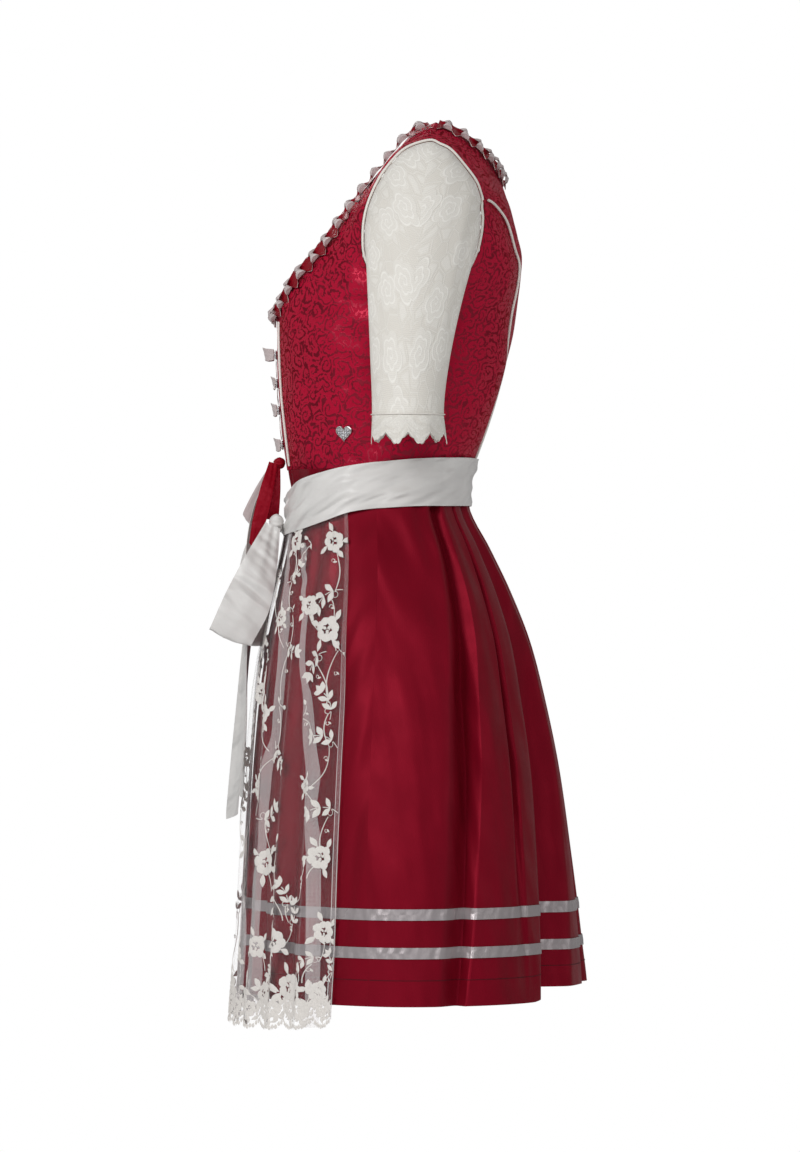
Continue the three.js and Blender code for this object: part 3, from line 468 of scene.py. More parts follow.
# The fourth column is how the back panel faces there, and the fifth how the side panel does.
BACK_SEAM = [
    (35, 44, -370, 170, 182),
    (38, 60, -327, 170, 192),
    (44, 72, -289, 170, 200),
    (52, 81, -253, 170, 200),
    (60, 85, -222, 166, 190),
    (65, 89, -195, 165, 180),
    (66, 95, -167, 165, 172),
    (70, 97, -144, 160, 168),
    (79, 92, -127, 158, 166),
    (94, 83, -98, 156, 162),
    (113, 70, -81, 158, 156),
]
BACK_SEAM_END = [(128, 60.5, -75, 150)]
BACK_ARMHOLE = [
    (129, 59.5, -72, 162),
    (133, 53, -54, 165),
    (132, 40, -36, 165),
    (131, 24, -18, 162),
    (130.5, 11, -11, 168),
    (130, -2, -7, 170),
]
CENTRE_BACK = [
    (0, 44, -370, 180),
    (0, 61, -327, 180),
    (0, 74, -288, 180),
    (0, 85, -251, 180),
    (0, 93, -217, 180),
    (0, 98, -184, 180),
    (0, 101, -152, 180),
    (0, 100, -120, 180),
    (0, 94, -92, 180),
    (0, 84, -60, 180),
    (0, 75, -34, 180),
]
BACK_NECK_EDGE = [
    (32, 71, -31, 180),
    (56, 63, -23, 180),
    (72, 51, -12, 176),
    (82, 36, -1, 168),
    (86, 20, 7, 171),
    (87, 6, 13, 170),
]

front_centre_cloth = panel(seam(CENTRE_FRONT), seam(FRONT_SEAM))
front_cloth = panel(seam(FRONT_SEAM, FRONT_NECK_EDGE), seam(SIDE_SEAM, FRONT_ARMHOLE))
side_back_cloth = panel(seam(SIDE_SEAM, SIDE_BACK_ARMHOLE), seam(BACK_SEAM + BACK_SEAM_END, facing=4))
back_cloth = panel(seam(BACK_SEAM, BACK_ARMHOLE), seam(CENTRE_BACK, BACK_NECK_EDGE))


def front_folds(point, u, v):
    """Small folds where the front is drawn in at the waist, and one slanting up from the sash."""
    low = smooth((-325 - point.z) / 45)
    gathers = 0.9 * low * math.sin(u * 46 + 2 * math.sin(point.z * 0.12)) * smooth(u * 2.2)
    slant = (point.y + 62) * 0.86 + (point.z + 330) * 0.5
    crease = 1.6 * bump(slant / 9) * smooth((point.z + 366) / 25) * smooth((-248 - point.z) / 30)
    ripple = 0.5 * math.sin(point.z * 0.075 + point.y * 0.05) * smooth((point.z + 330) / 60)
    return gathers - crease + ripple


def back_folds(point, u, v):
    """Shallow sideways folds above the waist and under the arm."""
    low = smooth((-330 - point.z) / 40)
    across = 0.7 * low * math.sin(point.z * 0.42 + u * 5)
    under_arm = 1.1 * bump((point.z + 232 - 22 * u) / 14) * smooth(1 - u * 1.4)
    return across + 0.4 * math.sin(point.z * 0.06 + u * 4) - under_arm


def faint_ripple(point, u, v):
    return 0.25 * math.sin(point.z * 0.09 + u * 3)


def steps(low, high, count):
    return [mix(low, high, i / count) for i in range(count + 1)]


def width_at(surface, v):
    """How wide a panel is at a height."""
    return (surface(0, v) - surface(0.5, v)).length + (surface(0.5, v) - surface(1, v)).length


def mirrored(line, side):
    """A line of points as it lies on the left, or on the right where side is -1."""
    return [Vector((side * point.x, point.y, point.z)) for point in line]


# How far each panel reaches past its seams, so that no light shows between them.
SEAM_LAP = 0.15
for name, surface, folds, rows, columns in (
    ("bodice_front_centre", front_centre_cloth, faint_ripple, 40, 10),
    ("bodice_front", front_cloth, front_folds, 100, 48),
    ("bodice_side_back", side_back_cloth, back_folds, 80, 34),
    ("bodice_back", back_cloth, faint_ripple, 100, 22),
):
    grid = []
    for v in steps(0.0005, 0.9995, rows):
        lap = SEAM_LAP / width_at(surface, v)
        line = []
        for u in steps(-lap, 1 + lap, columns):
            point = surface(u, v)
            hold = smooth(min(u, 1 - u) * 9) * smooth(min(v, 1 - v) * 18)
            line.append(point + normal_at(surface, u, v) * (folds(point, u, v) * hold))
        grid.append(line)
    for side, suffix in SIDES:
        half = [mirrored(line, side) for line in grid]
        piece = cloth(f"{name}_{suffix}_cloth", half, JACQUARD_THICKNESS, [jacquard])
        sew([f"{name}_{suffix}"])

# ---- piping ----
# Satin-covered cords caught in the front and back seams and round each armhole. Each lies half
# sunk in its seam, with the cover's weave wound slantwise round it.

PIPING_RADIUS = 1.5
ARMHOLE_CORD_INSET = 2.8


def satin(name, light, dark, roughness, threads=900.0, shine=0.5, tint=(1, 1, 1, 1), slack=(1, 1, 0, 0),
          gleam=0.0):
    """A satin finish: the colour drifts between two shades, over fine slanting threads, and the cloth
    is slack: how many soft waves a metre lie across and along it, how high they are and how they slant.
    Gleam is the share of the light that takes the cloth's own colour."""
    across, along, wave_height, slant = slack
    material, tree, shader, uv = new_material(name)
    made = place_group(tree, weave, {"Vector": uv, "Threads": threads})
    x, y, _ = parts_of(tree, uv)
    slanted = plus(tree, y, times(tree, x, slant))
    stretched = put(tree, "CombineXYZ", {0: times(tree, x, across), 1: times(tree, slanted, along)})
    waves = noise(tree, stretched.outputs[0], 1.0, 2.0)[0]
    height = plus(tree, times(tree, made["Thread"], 0.00005), times(tree, waves, wave_height))
    connect(tree, shader, {
        "Base Color": blend_colour(tree, made["Cloudy"], light, dark),
        "Roughness": fade(tree, made["Cloudy"], 0.2, 0.8, roughness - 0.05, roughness + 0.08),
        "Normal": relief(tree, height),
        "Specular IOR Level": shine,
        "Specular Tint": tint,
        "Metallic": gleam,
    })
    return material


cream_satin = satin("cream satin", (0.86, 0.83, 0.78, 1), (0.76, 0.72, 0.67, 1), 0.4)


def round_cord(name, points, radius, material, closed=False):
    """A round cord along points in millimetres."""
    curve = bpy.data.curves.new(name, "CURVE")
    curve.dimensions = "3D"
    curve.bevel_depth = radius * METRE
    curve.bevel_resolution = 2
    curve.use_fill_caps = True
    line = curve.splines.new("POLY")
    line.points.add(len(points) - 1)
    for place, point in zip(line.points, points):
        place.co = (*(point * METRE), 1)
    line.use_cyclic_u = closed
    choose(add_object(name, curve))
    bpy.ops.object.convert(target="MESH")
    piece = bpy.context.object
    piece.data.materials.append(material)
    finish_piece(piece)
    return piece


def piping(name, points, closed=False):
    """The same covered cord on the left and on the right."""
    for side, suffix in SIDES:
        cord = round_cord(f"{name}_{suffix}_cord", mirrored(points, side), PIPING_RADIUS, cream_satin, closed)
        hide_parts(f"{name}_{suffix}")


def rear_edge(surface, lift, heights):
    """Points along the rear seam of a panel, a little way out from it."""
    return [surface(1, v) + normal_at(surface, 1, v) * lift for v in heights]


piping("piping_front", rear_edge(front_centre_cloth, 1.6, steps(0.02, 0.87, 60)))
piping("piping_back", rear_edge(side_back_cloth, 1.8, steps(0.03, 0.985, 120)))

ARMHOLE_MIDDLE = Vector((140, -6, -96))
armhole_edge = [Vector(row[:3]) for row in (
    BACK_ARMHOLE[::-1] + SIDE_BACK_ARMHOLE[4::-1] + SIDE_SEAM[-1:] + FRONT_ARMHOLE[:-1])]


def armhole_ring(inset, underarm_outset, count):
    """The armhole's line drawn in towards its middle, as evenly spaced points from the shoulder round."""
    drawn = []
    for point in armhole_edge:
        inwards = Vector((0, ARMHOLE_MIDDLE.y - point.y, ARMHOLE_MIDDLE.z - point.z)).normalized() * inset
        low = smooth((ARMHOLE_MIDDLE.z - point.z) / 80)
        drawn.append(point + inwards + Vector((underarm_outset * low, 0, 0)))
    fine = [spline(drawn, place, closed=True) for place in steps(0, len(drawn), 600)[:-1]]
    return evenly(fine + fine[:1], count)[:-1]


def evenly(points, count):
    """Points at even distances along a line of many points, the last of them at its end."""
    travelled = [0]
    for a, b in zip(points, points[1:]):
        travelled.append(travelled[-1] + (b - a).length)
    spaced, k = [], 0
    for i in range(count + 1):
        target = travelled[-1] * i / count
        while k < len(points) - 2 and travelled[k + 1] < target:
            k += 1
        part = (target - travelled[k]) / max(travelled[k + 1] - travelled[k], 1e-9)
        spaced.append(points[k].lerp(points[k + 1], part))
    return spaced


piping("piping_armhole", armhole_ring(ARMHOLE_CORD_INSET, 0, 140), closed=True)

# ---- sleeves ----
# Short sleeves of floral lace on a fine net, set in behind the armhole piping with a little ease
# at the top. A scalloped lace edging is sewn on under a narrow tape at the cuff.

SLEEVE_ROWS = 80
SLEEVE_COLUMNS = 100
CUFF_X, CUFF_Y, CUFF_Z = 197, -25, -314
CUFF_REACH, CUFF_DEPTH = 41, 39
SCALLOPS = 10
EDGING_LENGTH, SCALLOP_DEPTH = 20, 12
LACE_THICKNESS = 0.7
# The sleeve is sewn in inside the armhole's cord, and a little out from it under the arm.
SLEEVE_INSET, UNDERARM_OUTSET = 4.9, 4

# Roses with ringed petals, leaves round them, on a net of small meshes.
lace, lace_in, lace_out = new_group("rose lace", [("Vector", "Vector"), ("Scale", "Float")],
                                    [("Thread", "Float"), ("Net", "Float")])
lace_place, lace_scale = lace_in["Vector"], lace_in["Scale"]
lace_cells = cells_in(lace, lace_place, lace_scale, 0.6)
lace_x, lace_y, lace_radius = within_cell(lace, lace_place, lace_cells, lace_scale)
lace_turned = times(lace, parts_of(lace, lace_cells["Color"])[0], FULL_TURN)
lace_angle = plus(lace, calc(lace, "ARCTAN2", lace_y, lace_x), lace_turned)
lace_petals = calc(lace, "ABSOLUTE", calc(lace, "SINE", times(lace, lace_angle, 2.5)))
lace_reach = plus(lace, times(lace, lace_petals, 0.1), 0.3)
lace_part = calc(lace, "DIVIDE", lace_radius, lace_reach)
lace_whorl = calc(lace, "FRACT", plus(lace, times(lace, lace_part, 2.5), times(lace, lace_angle, 0.16)))
lace_ring = calc(lace, "ABSOLUTE", calc(lace, "SUBTRACT", lace_whorl, 0.5))
lace_inside = fade(lace, lace_part, 1.06, 1.0)
lace_rose = times(lace, lace_inside, fade(lace, lace_ring, 0.3, 0.42, 0.45, 1.0))
lace_leaves = cells_in(lace, lace_place, 95.0, 1.0)
lace_veins = cells_in(lace, lace_place, 95.0, 1.0, "DISTANCE_TO_EDGE")["Distance"]
lace_chosen = fade(lace, parts_of(lace, lace_leaves["Color"])[1], 0.48, 0.5)
lace_leaf = times(lace, fade(lace, lace_veins, 0.12, 0.26, 0.0, 0.6), lace_chosen)
lace_leaf = calc(lace, "MAXIMUM", lace_leaf, fade(lace, lace_veins, 0.06, 0.02, 0.0, 0.55))
lace_leaf = times(lace, lace_leaf, fade(lace, lace_part, 1.0, 1.12))
lace_mesh = cells_in(lace, lace_place, 1100.0, 0.6, "DISTANCE_TO_EDGE")["Distance"]
connect(lace, lace_out, {
    "Thread": calc(lace, "MAXIMUM", lace_rose, lace_leaf),
    "Net": fade(lace, lace_mesh, 0.25, 0.1),
})


def lace_material(name, scale, open_net):
    """Lace with roses of a size, on a net that hides the share open_net where it is open."""
    material, tree, shader, uv = new_material(name)
    made = place_group(tree, lace, {"Vector": uv, "Scale": scale})
    net = fade(tree, made["Net"], 0, 1, open_net, 1.0)
    raised = plus(tree, times(tree, made["Net"], 0.05), made["Thread"])
    connect(tree, shader, {
        "Base Color": blend_colour(tree, made["Thread"], (0.78, 0.75, 0.69, 1), (0.87, 0.85, 0.8, 1)),
        "Alpha": calc(tree, "MAXIMUM", made["Thread"], net),
        "Normal": relief(tree, raised, 0.6, 0.0006),
        "Roughness": 0.85,
    })
    return material


sleeve_lace = lace_material("sleeve lace", 30.0, 0.86)
edging_lace = lace_material("edging lace", 52.0, 0.82)
sleeve_top = armhole_ring(SLEEVE_INSET, UNDERARM_OUTSET, SLEEVE_COLUMNS)


def cuff_point(around, drop, flare):
    """A point round the cuff, a way below it and out from it."""
    angle = 2 * math.pi * around
    return Vector((CUFF_X + (CUFF_REACH + flare) * math.cos(angle),
                   CUFF_Y + (CUFF_DEPTH + flare) * math.sin(angle), CUFF_Z - drop))


def sleeve_point(column, t):
    """A point on the sleeve: t runs down it from the armhole to the cuff."""
    around = column / SLEEVE_COLUMNS
    angle = 2 * math.pi * around
    outer = 0.5 + 0.5 * math.cos(angle)
    start_pull = Vector((mix(90, 165, outer), 0, mix(0, -10, outer)))
    end_pull = Vector((0, 0, -mix(120, 330, outer)))
    point = hermite(sleeve_top[column], start_pull, cuff_point(around, 0, 0), end_pull, t)
    outwards = Vector((math.cos(angle), math.sin(angle), 0))
    ease = 0.5 * math.sin(22 * angle) * smooth(1 - t * 7) * smooth(t * 30)
    drape = 0.9 * math.sin(4 * angle + 3 * t) * smooth(t * 3) * smooth((1 - t) * 4)
    return point + outwards * (ease + drape)


sleeve_grid = [[sleeve_point(j, t) for j in range(SLEEVE_COLUMNS)] for t in steps(0, 1, SLEEVE_ROWS)]
EDGING_COLUMNS = SCALLOPS * 20
edging_grid = []
for drop in steps(0, 1, 10):
    line = []
    for j in range(EDGING_COLUMNS):
        around = j / EDGING_COLUMNS
        tip = abs(math.sin(math.pi * SCALLOPS * around)) * (0.86 + 0.14 * math.sin(11 * around * math.pi))
        small = abs(math.sin(math.pi * SCALLOPS * 4 * around))
        length = 0.3 + drop * (EDGING_LENGTH - 1.5 + SCALLOP_DEPTH * tip ** 1.5 + 1.6 * small)
        curl = 2.4 * drop + 1.3 * drop * math.sin(2 * math.pi * SCALLOPS * 0.5 * around)
        line.append(cuff_point(around, length, curl))
    edging_grid.append(line)
tape_line = [cuff_point(j / 120, -1.0, 0.9) for j in range(120)]
for side, suffix in SIDES:
    half = [mirrored(line, side) for line in sleeve_grid]
    piece = cloth(f"sleeve_{suffix}_lace", half, LACE_THICKNESS, [sleeve_lace], closed=True,
                  inside=Vector((side * 180, -20, -180)))
    sew([f"sleeve_{suffix}"])
    half = [mirrored(line, side) for line in edging_grid]
    piece = cloth(f"sleeve_edging_{suffix}_lace", half, LACE_THICKNESS, [edging_lace], closed=True,
                  inside=Vector((side * CUFF_X, CUFF_Y, CUFF_Z)))
    sew([f"sleeve_edging_{suffix}"])
    tape = round_cord(f"cuff_tape_{suffix}", mirrored(tape_line, side), 0.7, cream_satin, closed=True)

# ---- neck ribbon ----
# A two-tone satin ribbon, crimson on its face and silver on its reverse, with cream edges. It is
# stitched down along its middle and pinched, so its edges stand up and turn over as small mouths.

RIBBON_WIDTH = 27
RIBBON_FROM_EDGE = 8
RIBBON_LIFT = 1.9
PERIOD_STEPS = 12
# The share of its half width that stays flat, and the shares of the rest where it begins to turn
# over and where it stands highest.
FLAT_PART, LIP_PART, CREST_PART = 0.38, 0.35, 0.55
MOUTH_HEIGHT = 7.0
RIBBON_ACROSS = (-1, -0.86, -0.7, -0.55, -0.38, -0.2, 0, 0.2, 0.38, 0.55, 0.7, 0.86, 1)

ribbon_face = satin("ribbon face", (0.30, 0.004, 0.014, 1), (0.2, 0.003, 0.009, 1), 0.35, shine=0.4,
                    tint=RED_SHINE, slack=(60, 60, 0.003, 0))
ribbon_back = satin("ribbon reverse", (0.62, 0.54, 0.53, 1), (0.48, 0.4, 0.4, 1), 0.32)
ribbon_edge = satin("ribbon edge", (0.84, 0.8, 0.74, 1), (0.74, 0.7, 0.64, 1), 0.5)
TWO_TONE = [ribbon_face, ribbon_back, ribbon_edge]


def beneath_neck(surface, front, low, high, count):
    """Points and facings of the cloth a fixed way below its neck edge."""
    found = []
    for v in steps(low, high, count):
        inwards = RIBBON_FROM_EDGE / width_at(surface, v)
        u = inwards if front else 1 - inwards
        found.append((surface(u, v), normal_at(surface, u, v)))
    return found


first_neck_row = len(FRONT_SEAM) / (len(FRONT_SEAM) + len(FRONT_NECK_EDGE) - 1)
front_route = [
    (front_centre_cloth(u, 0.94) + Vector((0, -0.5, 0)), Vector((math.sin(0.26 * u), -math.cos(0.26 * u), 0)))
    for u in steps(0.04, 0.8, 3)
] + beneath_neck(front_cloth, True, first_neck_row, 0.985, 9)
last_neck_row = len(CENTRE_BACK) / (len(CENTRE_BACK) + len(BACK_NECK_EDGE) - 1)
back_route = [
    (Vector((1.4, 78, -44)), Vector((0, 0.95, 0.35))),
    (Vector((14, 77, -43.5)), Vector((0, 0.95, 0.35))),
] + beneath_neck(back_cloth, False, last_neck_row, 0.985, 7)


def pinched_ribbon(route, periods):
    """Rows of points for a ribbon along a route, pinched once in each period."""
    fine = 20 * (len(route) - 1)
    places, facings = ([spline(points, i / 20) for i in range(fine + 1)] for points in zip(*route))
    count = periods * PERIOD_STEPS
    line = evenly(places, count)
    grid = [[] for part in RIBBON_ACROSS]
    for i, point in enumerate(line):
        along = (line[min(i + 1, count)] - line[max(i - 1, 0)]).normalized()
        facing = facings[min(round(i * fine / count), fine)].normalized()
        sideways = along.cross(facing).normalized()
        phase = 2 * math.pi * i / PERIOD_STEPS
        gape = (0.5 - 0.5 * math.cos(phase)) ** 0.7
        for row, part in zip(grid, RIBBON_ACROSS):
            flat = min(abs(part), FLAT_PART)
            edge = (abs(part) - flat) / (1 - FLAT_PART)
            turned = flat + (abs(part) - flat) * mix(1, 0.25, gape)
            turned -= 0.75 * gape * max(edge - LIP_PART, 0) / (1 - LIP_PART)
            stand = MOUTH_HEIGHT * math.sin(min(edge / CREST_PART, 1) * math.pi / 2)
            stand += 1.2 * (1 - abs(part)) - 0.5 * max(edge - CREST_PART, 0)
            lift = RIBBON_LIFT + 0.4 + gape * stand
            pull = 2.6 * math.sin(phase) * edge
            row.append(point + sideways * (math.copysign(turned, part) * RIBBON_WIDTH / 2)
                       + facing * lift + along * pull)
    return grid


for name, route, periods, cloth_name in (
    ("ruching_front", front_route, 14, "bodice_front"),
    ("ruching_back", back_route, 7, "bodice_back"),
):
    grid = pinched_ribbon(route, periods)
    for side, suffix in SIDES:
        half = [mirrored(line, side) for line in grid]
        piece = cloth(f"{name}_{suffix}_ribbon", half, 0.5, TWO_TONE, inside=Vector((0, -40, -120)))
        sew([f"{name}_{suffix}"])

# ---- skirt ----
# Three panels of crimson satin, seamed at the sides and centre back and set into the waist in
# deep pleats that open towards the hem. The hem is turned up and stitched.

WAIST, SKIRT_HEM = -370, -950
HIP = -616
HIP_DROP = (HIP - WAIST) / (SKIRT_HEM - WAIST)
BACK_HEM_RISE = 12
SIDE_TURN = 75
SKIRT_THICKNESS = 0.8

# Height, front, back, half the width, and how square the ring is.
SKIRT_RINGS = [
    (-345, -161, 59, 137, 2.5),
    (-370, -159, 47, 136, 2.5),
    (-411, -153, 44, 139, 2.4),
    (-457, -160, 67, 160, 2.3),
    (-504, -171, 90, 182, 2.2),
    (-558, -183, 112, 204, 2.1),
    (-616, -191, 128, 222, 2.0),
    (-701, -198, 146, 244, 2.0),
    (-801, -203, 160, 264, 2.0),
    (-885, -206, 170, 277, 2.0),
    (-950, -210, 176, 286, 2.0),
    (-995, -213, 180, 292, 2.0),
]
# Where each fold line runs at the hem, the hip and the waist, in degrees from the front.
FOLD_LINES = [
    (0, 0, 0),
    (24, 26, 28),
    (42, 46, 52),
    (63, 68, 74),
    (75, 79, 91),
    (107, 122, 130),
    (131, 138, 144),
    (144, 157, 158),
    (166, 171, 169),
    (180, 180, 180),
]
# Each fold's place at the hem, its spread, its depth at the waist, the hip and the hem, and its
# spread towards the back as a share of that towards the front.
PLEATS = [
    (0, 6, 1, 4, 9, 1),
    (12, 5, 2, 5, 10, 1),
    (24, 6, 2, 7, 13, 1),
    (42, 6, 2, 6, 12, 1),
    (56, 5, 1, 3, 6, 1),
    (105, 8.5, 8, 24, 13, 0.16),
    (128, 4.5, 4, 14, 0, 0.35),
    (144, 9.5, 2, 20, 40, 1),
    (166, 5, 2, 7, 10, 1),
    (180, 6, 2, 12, 28, 1),
]


def eased(table, key, column):
    """A smooth value from a table whose first column falls from row to row."""
    k = 0
    while k < len(table) - 2 and table[k + 1][0] > key:
        k += 1
    a, b = table[k], table[k + 1]
    before, after = table[max(k - 1, 0)], table[min(k + 2, len(table) - 1)]
    span = b[0] - a[0]
    leave = (b[column] - before[column]) / (b[0] - before[0]) * span
    arrive = (after[column] - a[column]) / (after[0] - a[0]) * span
    return hermite(a[column], leave, b[column], arrive, (key - a[0]) / span)


def turn_down(hem_turn, z):
    """The turn at a height of the line that reaches the hem at hem_turn."""
    place = abs(hem_turn)
    k = next((i for i in range(1, len(FOLD_LINES)) if FOLD_LINES[i][0] >= place), len(FOLD_LINES) - 1)
    a, b = FOLD_LINES[k - 1], FOLD_LINES[k]
    t = (place - a[0]) / (b[0] - a[0])
    waist, hip = mix(a[2], b[2], t), mix(a[1], b[1], t)
    drop = (z - WAIST) / (SKIRT_HEM - WAIST)
    bend = (hip - mix(waist, place, HIP_DROP)) / (HIP_DROP * (1 - HIP_DROP))
    return math.copysign(mix(waist, place, drop) + bend * drop * (1 - drop), hem_turn)


def pleat_depth(hem_turn, z):
    """How far the folds draw the skirt in at a place."""
    drop = (z - WAIST) / (SKIRT_HEM - WAIST)
    depth = 0
    for place, spread, waist, hip, hem, behind in PLEATS:
        away = (abs(hem_turn) - place) / spread
        if away > 0:
            away /= behind
        if abs(away) >= 1:
            continue
        if drop < HIP_DROP:
            size = mix(waist, hip, drop / HIP_DROP)
        else:
            size = mix(hip, hem, (drop - HIP_DROP) / (1 - HIP_DROP))
        depth += bump(away) * max(size, 0)
    return depth


ring_cache = {}


def ring_point(turn, z, out):
    """A point on the skirt's rings, moved out from them in plan."""
    if z not in ring_cache:
        ring_cache[z] = [eased(SKIRT_RINGS, z, column) for column in (1, 2, 3, 4)]
    front, back, half, power = ring_cache[z]
    middle, deep = (front + back) / 2, (back - front) / 2
    sine, cosine = math.sin(math.radians(turn)), math.cos(math.radians(turn))
    x = math.copysign(abs(sine) ** (2 / power), sine)
    y = -math.copysign(abs(cosine) ** (2 / power), cosine)
    steep = Vector((math.copysign(abs(x) ** (power - 1), x) / half,
                    math.copysign(abs(y) ** (power - 1), y) / deep, 0)).normalized()
    return Vector((half * x, middle + deep * y, z)) + steep * out


def skirt_creases(hem_turn, z):
    """Small drag folds below the sash and slow waves in the long panels."""
    place = abs(hem_turn)
    high = smooth((z + 560) / 120)
    drag = 1.1 * high * math.sin(place * 0.55 + z * 0.02) * bump((place - 92) / 30)
    slow = 1.6 * math.sin(place * 0.16 + z * 0.006) * smooth((-420 - z) / 120)
    return drag + slow


def skirt_point(hem_turn, z, out):
    """A point on the skirt on the line that reaches the hem at hem_turn."""
    out += skirt_creases(hem_turn, z) - pleat_depth(hem_turn, z)
    point = ring_point(turn_down(hem_turn, z), z, out)
    low = smooth((-890 - z) / 60)
    point.z += BACK_HEM_RISE * low * smooth((abs(hem_turn) - 131) / 16)
    return point


skirt_satin = satin("skirt satin", (0.205, 0.0035, 0.014, 1), (0.16, 0.003, 0.011, 1), 0.4, 1400.0, 0.22,
                    RED_SHINE, (13, 4, 0.024, 0.05), 0.22)
hem_thread = satin("hem thread", (0.09, 0.002, 0.008, 1), (0.06, 0.002, 0.006, 1), 0.6, shine=0.2)
HEM_TURNED = 28
SKIRT_ROWS = 64
# How far each panel reaches past its seams, in degrees, and how far its stitching stops short of them.
SKIRT_LAP, STITCHES_SHORT = 0.03, 0.3
for name, low, high, columns in (
    ("skirt_front", -SIDE_TURN, SIDE_TURN, 200),
    ("skirt_back_L", SIDE_TURN, 180, 230),
    ("skirt_back_R", -180, -SIDE_TURN, 230),
):
    turns = steps(low - SKIRT_LAP, high + SKIRT_LAP, columns)
    heights = steps(WAIST - 0.3, SKIRT_HEM, SKIRT_ROWS)
    grid = [[skirt_point(turn, z, 0) for turn in turns] for z in heights]
    piece = cloth(f"{name}_cloth", grid, SKIRT_THICKNESS, [skirt_satin])
    turns = steps(low + STITCHES_SHORT, high - STITCHES_SHORT, columns)
    stitched = [skirt_point(turn, SKIRT_HEM + HEM_TURNED, 0.1) for turn in turns]
    stitches = round_cord(f"{name}_hem_stitches", stitched, 0.4, hem_thread)
    sew([name])

# Two satin ribbons are stitched flat round the skirt above the hem.
HEM_RIBBONS = {"upper": -852, "lower": -893}
HEM_RIBBON_WIDTH = 12
silver_satin = satin("silver satin", (0.42, 0.38, 0.385, 1), (0.27, 0.24, 0.25, 1), 0.3,
                     slack=(38, 6, 0.006, 0), gleam=0.35)
for place, height in HEM_RIBBONS.items():
    grid = []
    for part in steps(-0.5, 0.5, 4):
        z = round(height + part * HEM_RIBBON_WIDTH, 3)
        line = []
        for turn in steps(-180, 180, 720)[:-1]:
            wave = 0.35 * math.sin(turn * 1.7) * (1 - 2 * abs(part))
            line.append(skirt_point(turn, z, 1.2 + wave))
        grid.append(line)
    piece = cloth(f"hem_ribbon_{place}_satin", grid, 0.5, [silver_satin], closed=True)
    sew([f"hem_ribbon_{place}"])

# ---- apron ----
# A see-through tulle apron gathered into the sash, with a narrow doubled hem down each side and
# a scalloped lower edge. White corded flowers are embroidered on it.

APRON_TOP, APRON_HEM = -411, -978
APRON_TURN = 63
APRON_LIFT = 3.7
APRON_SCALLOPS = 20
# Each fold's place, spread, and height at the hip and at the hem.
APRON_FOLDS = [
    (-55, 5, 5, 11),
    (-39, 4, 4, 9),
    (-26, 4.5, 5, 10),
    (-12, 4, 4, 9),
    (2, 5, 5, 9),
    (15, 4, 4, 8),
    (27, 4.5, 6, 10),
    (40, 4, 5, 9),
    (53, 5, 6, 12),
]


def apron_fold(turn, z):
    """How far the apron's folds and the gathers below the sash stand out at a place."""
    to_hip = (z - WAIST) / (HIP - WAIST)
    to_hem = (z - HIP) / (APRON_HEM - HIP)
    height = 0
    for place, spread, hip, hem in APRON_FOLDS:
        size = hip * to_hip * to_hip if to_hip < 1 else mix(hip, hem, to_hem)
        height += size * bump((turn - place) / spread)
    gathers = 0.8 * smooth((z + 560) / 120) * (1 + math.sin(turn * 2.3))
    return height + gathers


def apron_point(turn, z, out):
    return ring_point(turn_down(turn, z), z, APRON_LIFT + apron_fold(turn, z) + out)


def apron_bottom(turn):
    """The height of the scalloped edge at a turn."""
    part = (turn + APRON_TURN) / (2 * APRON_TURN) * APRON_SCALLOPS
    scallop = 9 * abs(math.sin(math.pi * part)) ** 0.8 + 1.3 * abs(math.sin(math.pi * part * 5))
    return APRON_HEM + 12 * (turn / APRON_TURN) ** 2 - scallop + 1


def net_material(name, open_part, thread, edge=None):
    """Fine net, seen through where it faces the eye and closer where it turns away. Edge is how far
    from the middle a bound rim begins."""
    material, tree, shader, uv = new_material(name)
    cells = cells_in(tree, uv, 700.0, 0.25, "DISTANCE_TO_EDGE")["Distance"]
    total = fade(tree, fade(tree, cells, 0.22, 0.1), 0, 1, open_part, thread)
    facing = put(tree, "LayerWeight", {"Blend": 0.5}).outputs["Facing"]
    total = plus(tree, total, fade(tree, facing, 0.6, 1.0, 0.0, 0.09))
    if edge:
        from_middle = calc(tree, "ABSOLUTE", parts_of(tree, uv)[0])
        total = plus(tree, total, fade(tree, from_middle, edge - 0.0006, edge, 0.0, 0.6))
    connect(tree, shader, {
        "Base Color": (0.82, 0.77, 0.77, 1),
        "Alpha": calc(tree, "MINIMUM", total, 0.95),
        "Roughness": 0.8,
    })
    return material


tulle = net_material("tulle", 0.0, 0.055)
tulle_hem = net_material("tulle hem", 0.02, 0.1, 0.0028)
tulle_fold = net_material("tulle fold", 0.1, 0.34)

# Rows run down from under the sash to the scalloped edge.
APRON_ROWS = steps(0, 1, 90)
grid = []
for down in APRON_ROWS:
    line = []
    for turn in steps(-APRON_TURN, APRON_TURN, 240):
        z = round(mix(APRON_TOP, apron_bottom(turn), down), 1)
        line.append(apron_point(turn, z, 0))
    grid.append(line)
apron = cloth("apron_tulle", grid, 0.5, [tulle])

for side, suffix in SIDES:
    turns = [side * (APRON_TURN - 0.1 - inwards) for inwards in (0, 0.85, 1.7)]
    grid = []
    for down in APRON_ROWS:
        z = round(mix(APRON_TOP, apron_bottom(side * APRON_TURN), down), 1)
        grid.append([apron_point(turn, z, 0.5) for turn in turns])
    hem = cloth(f"apron_side_hem_{suffix}", grid, 0.5, [tulle_hem])

